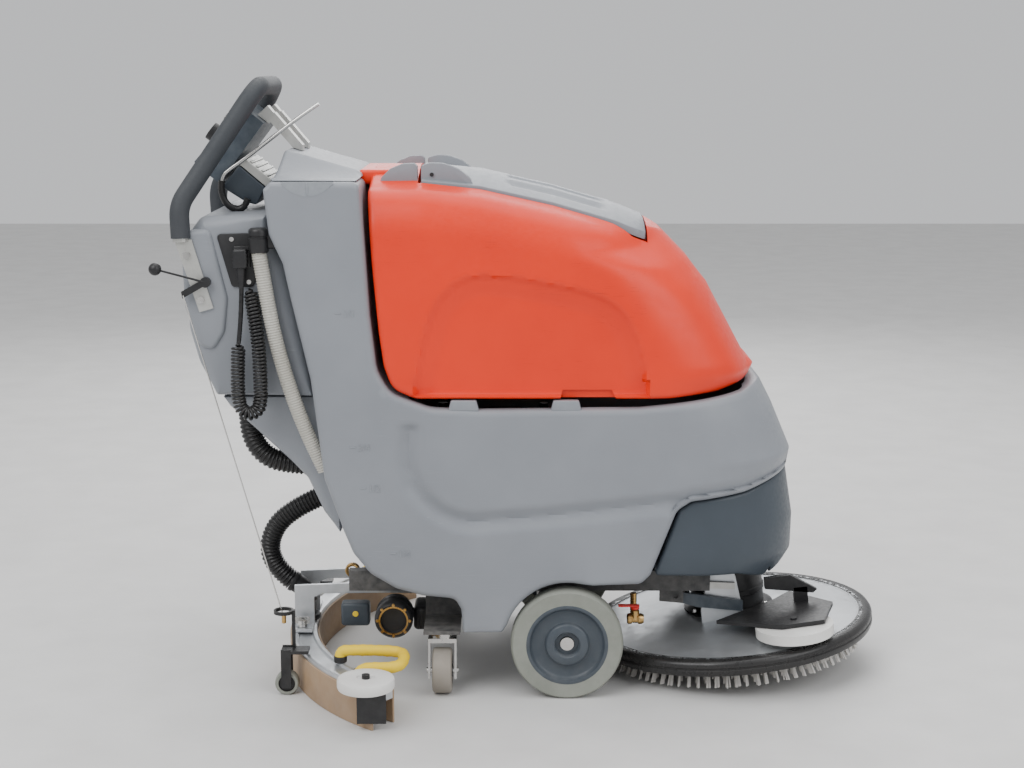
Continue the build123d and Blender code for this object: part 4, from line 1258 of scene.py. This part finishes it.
squeegee = {"x": 68, "radius": 520, "half": 395, "low": 45, "high": 72, "depth": 55, "blade": 4}


def arcBand(outer, inner, profile, count=90):
    # A band about the squeegee's centre: a section of (share across, z) points swept to both ends.
    bm = bmesh.new()
    reach = math.asin(squeegee["half"] / squeegee["radius"])
    rows = []
    for index in range(count + 1):
        turn = reach * (2 * index / count - 1)
        spots = [(inner + (outer - inner) * share, z) for share, z in profile]
        rows.append([bm.verts.new((squeegee["x"] - r * math.cos(turn), r * math.sin(turn), z)) for r,
                     z in spots])
    for low, high in zip(rows, rows[1:]):
        for step in range(len(profile)):
            bm.faces.new((low[step - 1], low[step], high[step], high[step - 1]))
    bm.faces.new(rows[0])
    bm.faces.new(rows[-1][::-1])
    return bm


def makeSqueegee():
    outer, depth, blade = squeegee["radius"], squeegee["depth"], squeegee["blade"]
    low, high = squeegee["low"], squeegee["high"]
    section = [(0, low), (0, high - 6), (0.05, high - 1), (0.1, high), (0.2, high), (0.24, high - 4),
               (0.76, high - 4),
               (0.8, high), (0.9, high), (0.95, high - 1), (1, high - 6), (1, low)]
    body = arcBand(outer - blade, outer - depth + blade, section)
    finishPiece("squeegeeCasting", body, "castAluminium", "squeegee", ("squeegee_body",))
    lip = [(0, 0.3), (0, high - 7), (0.3, high - 6), (0.7, high - 6), (1, high - 7), (1, 1.5), (0.7, 0)]
    rear = arcBand(outer, outer - blade, lip)
    front = arcBand(outer - depth + blade, outer - depth, lip)
    finishPiece("squeegeeLips", joined(rear, front), "tanRubber", "squeegee", ("squeegee_blades",))


makeDeck()
makeBrush()
makeBrushMotor()
makeSqueegee()
print("deck and squeegee made")


def makeSqueegeeGrips():
    # Foam-sleeved loops at both ends, with black caps where the sleeve stops.
    route = [(-336, -250, 80), (-336, -250, 90), (-328, -250, 94), (-280, -253, 95), (-236, -256, 94),
             (-222, -268, 93),
             (-221, -289, 91), (-224, -308, 88), (-238, -321, 87), (-265, -322, 87), (-286, -322, 86),
             (-295, -322, 82), (-296, -322, 79)]
    for side, name in bothSides:
        places = evenly(linePoints("gripLine", [(x, -side * y, z) for x, y, z in route]), 60)
        radii = [9.8 + 0.35 * math.sin(index * 1.7) + 0.25 * math.sin(index * 0.61) for index in range(61)]
        sleeve = finishPiece("gripSleeve" + name, sweepRings(places, radii, 32), "yellowFoam",
                             "squeegee",
                             ("squeegee_grips",) if side < 0 else (), 60, 0)
        caps = []
        for x, y in ((-336, 250), (-296, 322)):
            cap = bmesh.new()
            lathe(cap, [(0, 72.5), (11, 72.5), (11.6, 74), (11.6, 82), (10.6, 84), (0, 84)],
                  (x, side * y, 0), "Z", 32)
            caps.append(cap)
        finishPiece("gripCaps" + name, joined(*caps), "blackPlastic", "squeegee")


def makeGuardDiscs():
    x = squeegee["x"] - math.sqrt(squeegee["radius"] ** 2 - squeegee["half"] ** 2) - 9
    y = squeegee["half"] - 4
    for side, name in bothSides:
        disc = bmesh.new()
        section = [(7.1, 75), (44, 75), (47.5, 76.5), (49, 80), (49, 90), (47.5, 93.5), (43, 95),
                   (30, 95.8),
                   (16, 95.8), (14, 93), (7.1, 93)]
        lathe(disc, section, (x, side * y, 0), "Z", 96, True)
        finishPiece("guardDisc" + name, disc, "whitePlastic", "guard_disc_" + name.lower(),
                    ("guard_disc_" + name.lower(),))


def makeSupportRollers():
    for side, name in bothSides:
        centre = (-436, side * 213, 21.5)
        tyre = bmesh.new()
        lathe(tyre, [(15, -10), (19.5, -10), (21.2, -8), (21.5, -5), (21.5, 5), (21.2, 8), (19.5, 10),
                     (15, 10)],
              centre, "Y", 64, True)
        body = "squeegee_roller_" + name.lower()
        node = [key for key in frame["nodes"] if key.endswith("roller_" + name.lower())][0]
        finishPiece("rollerTyre" + name, tyre, "greyTyre", body, (node,))
        hub = bmesh.new()
        lathe(hub, [(4.1, -10), (8, -10), (9, -8), (14, -7.5), (15.2, -9.5), (15.2, 9.5), (14, 7.5),
                    (9, 8), (8, 10),
                    (4.1, 10)], centre, "Y", 48, True)
        finishPiece("rollerHub" + name, hub, "blackPlastic", body)


def makeFilterBowl():
    bowl = bmesh.new()
    lathe(bowl, [(0, -158), (22, -158), (24, -162), (26, -168), (30, -168), (33, -165), (35, -160),
                 (35, -150),
                 (32, -148), (32, -122), (35, -120), (0, -120)], (-247, 0, 121), "Y", 72)
    finishPiece("filterCase", bowl, "blackPlastic", "filter_bowl", ("filter_bowl",))
    studs = []
    for turn in range(0, 360, 45):
        x, z = 29.5 * math.cos(math.radians(turn)), 29.5 * math.sin(math.radians(turn))
        stud = bmesh.new()
        lathe(stud, [(0, -170), (2.6, -170), (3, -169), (3, -165), (0, -165)], (-247 + x, 0, 121 + z),
              "Y", 12)
        studs.append(stud)
    ring = bmesh.new()
    lathe(ring, [(24, -169), (27, -169), (27, -165), (24, -165)], (-247, 0, 121), "Y", 64, True)
    finishPiece("filterRing", joined(ring, *studs), "brass", "filter_bowl")


def makeSuctionElbow():
    places = evenly(linePoints("elbowLine",
                               [(-424, 0, 73), (-424, 0, 104), (-424, 0, 126), (-436, 0, 138),
                                             (-450.5, 0, 146.5)]), 40)
    radii = [20 if 16 < index < 19 or index > 36 else 18 for index in range(41)]
    flange = bmesh.new()
    lathe(flange, [(0, 73), (26, 73), (27, 74), (27, 80), (25, 82), (0, 82)], (-424, 0, 0), "Z", 64)
    bend = sweepRings(places, radii, 40)
    finishPiece("suctionElbow", joined(bend, flange), "blackPlastic", "squeegee", ("suction_elbow",),
                45, 0)


def makeCableHook():
    steel = smoothLine("hookRod", [(-371, -104, 1046), (-404, -104, 1024), (-437, -104, 1000),
                                   (-470, -104, 975),
                                   (-500, -104, 952), (-530, -104, 932), (-544, -104, 920),
                                   (-546, -104, 899)], 3.5)
    finishCord(steel, "brightSteel", "root", "cable_hook")
    sleeve = smoothLine("hookSleeve", [(-545, -104, 912), (-547, -104, 898), (-543, -104, 880),
                                       (-535, -104, 868),
                                       (-522, -104, 861), (-510, -104, 863), (-503, -104, 871),
                                       (-500, -104, 880)], 6)
    sleeve.data.materials.append(made["blackRubber"])
    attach(sleeve, "root")


def makeBatteryConnector():
    block = [(-548, 900, 4), (-516, 938, 5), (-470, 899, 5), (-486, 868, 6), (-504, 872, 6)]
    finishPiece("connectorBlock", softPrism(rounded(block), -92, 60, 3), "slatePlastic", "root",
                ("battery_connector",))
    lid = [(-515, 939, 2), (-505, 950, 3), (-458, 911, 3), (-469, 900, 2)]
    shapes = [softPrism(rounded(lid), -91, 59, 2)]
    for share in (0.2, 0.4, 0.6, 0.8):
        # Ridges across the pale lid.
        x, z = -505 + 47 * share, 950 - 39 * share
        ridge = [(x - 3, z + 1), (x, z + 3.2), (x + 3.4, z + 0.4), (x + 1, z - 4)]
        shapes.append(softPrism(ridge, -86, 54, 0.8, 2))
    finishPiece("connectorLid", joined(*shapes), "paleMetal", "root")


def makeConnectorPanel():
    panel = [(-542, 827, 8), (-458, 829, 8), (-462, 780, 20), (-480, 735, 8), (-517, 735, 8)]
    plate = softPrism(rounded(panel), -202.6, -198.2, 1.4, 2)
    socket = softBlock((-511, -209, 769), (-483, -201, 807), 2, 2)
    cap = softBlock((-482, -224, 803), (-434, -200, 833), 6, 4)
    finishPiece("connectorPlate", joined(plate, socket, cap), "blackPlastic", "root",
                ("connector_panel",))


def makePump():
    case = softBlock((-214, -112, 84), (-136, -40, 128), 8, 4)
    ribs = [softBlock((x, -114, 88), (x + 3, -108, 124), 1, 2) for x in range(-206, -142, 9)]
    head = bmesh.new()
    lathe(head, [(0, -118), (28, -118), (30, -116), (30, -98), (28, -96), (0, -96)], (-247, 0, 121),
          "Y", 64)
    motor = softBlock((-349, -100, 88), (-296, -70, 132), 6, 4)
    spot = bmesh.new()
    lathe(spot, [(0, -101), (5, -101), (6, -99), (0, -99)], (-322, 0, 112), "Y", 24)
    ring = bmesh.new()
    lathe(ring, [(8, -68), (12, -69), (14, -67), (14, -61), (12, -59.5), (8, -60)], (-329, 0, 186), "Y",
          48, True)
    pipe = sweepRings(evenly([Vector((-247, -100, 121)), Vector((-190, -90, 110))], 6), [8] * 7, 24)
    finishPiece("pumpCase", joined(case, *ribs, pipe), "blackPlastic", "root", ("water_circuit",), 38,
                0)
    finishPiece("pumpHead", head, "castMetal", "root")
    finishPiece("pumpMotor", motor, "slatePlastic", "root")
    finishPiece("pumpMark", spot, "yellowFoam", "root")
    finishPiece("hoseRing", ring, "brass", "root")
    valve = bmesh.new()
    lathe(valve, [(0, -14), (8, -14), (10, -12), (10, -6), (8, -5), (8, 5), (10, 6), (10, 12), (8, 16),
                  (0, 16)],
          (190, -176, 128), "X", 12)
    stem = bmesh.new()
    lathe(stem, [(0, 128), (8, 128), (8, 144), (6, 146), (0, 146)], (190, -176, 0), "Z", 24)
    bend = [(190, -176, 128), (190, -152, 128), (190, -137, 130), (190, -137, 146), (190, -137, 164)]
    outlet = sweepRings(evenly(linePoints("outletLine", bend), 24), [6] * 25, 24)
    finishPiece("valveBody", joined(valve, stem, outlet), "brass", "root", (), 38, 0)


def paintNodes():
    # Every CAD node that stays in sight takes the finish of its slot, or its own from this list.
    own = {"handle_frame": "paleMetal", "squeegee_arm": "castAluminium",
           "squeegee_brackets": "blackPlastic",
           "deck_arm": "slatePlastic", "deck_link": "paleMetal", "guard_roller": "whitePlastic",
           "deck_guard": "blackPlastic", "caster_fork_right": "brightSteel",
           "caster_fork_left": "brightSteel",
           "chassis_frame": "framePaint", "batteries": "blackPlastic"}
    bySlot = {}
    for name, look in finishes.items():
        bySlot.setdefault(look["slot"], name)
    slots = {part["node"]: part["material_slot"] for part in frame["record"]["subparts"]}
    for name, node in frame["nodes"].items():
        finish = own.get(name, bySlot.get(slots[name], "blackPlastic"))
        node.data.materials.clear()
        node.data.materials.append(made[finish])


makeSqueegeeGrips()
makeGuardDiscs()
makeSupportRollers()
makeFilterBowl()
makeSuctionElbow()
makeCableHook()
makeBatteryConnector()
makeConnectorPanel()
makePump()
paintNodes()
print("fittings made")

# room and light


def makeRoom():
    bm = bmesh.new()
    bmesh.ops.create_grid(bm, x_segments=1, y_segments=1, size=9)
    mesh = bpy.data.meshes.new("floor")
    bm.to_mesh(mesh)
    bm.free()
    floor = bpy.data.objects.new("floor", mesh)
    floor.data.materials.append(made["concrete"])
    bpy.context.collection.objects.link(floor)


lamps = {
    "keyLamp": dict(place=(-2.2, -2.6, 3.6), size=3.0, power=130, aim=(0.0, 0.0, 0.5)),
    "fillLamp": dict(place=(2.8, -2.4, 2.6), size=3.0, power=70, aim=(0.1, 0.0, 0.5)),
    "topLamp": dict(place=(0.3, 0.6, 3.8), size=3.4, power=90, aim=(0.0, 0.0, 0.4)),
    "backLamp": dict(place=(0.0, 3.2, 2.4), size=2.6, power=60, aim=(0.0, 0.0, 0.6)),
}


def makeLight():
    for name, lamp in lamps.items():
        data = bpy.data.lights.new(name, "AREA")
        data.size, data.energy = lamp["size"], lamp["power"]
        holder = bpy.data.objects.new(name, data)
        holder.location = lamp["place"]
        aim = Vector(lamp["aim"]) - holder.location
        holder.rotation_euler = aim.to_track_quat("-Z", "Y").to_euler()
        bpy.context.collection.objects.link(holder)
    world = bpy.data.worlds.new("softRoom")
    world.use_nodes = True
    world.node_tree.nodes["Background"].inputs["Color"].default_value = (0.92, 0.93, 0.95, 1)
    world.node_tree.nodes["Background"].inputs["Strength"].default_value = 0.75
    bpy.context.scene.world = world


makeRoom()
makeLight()
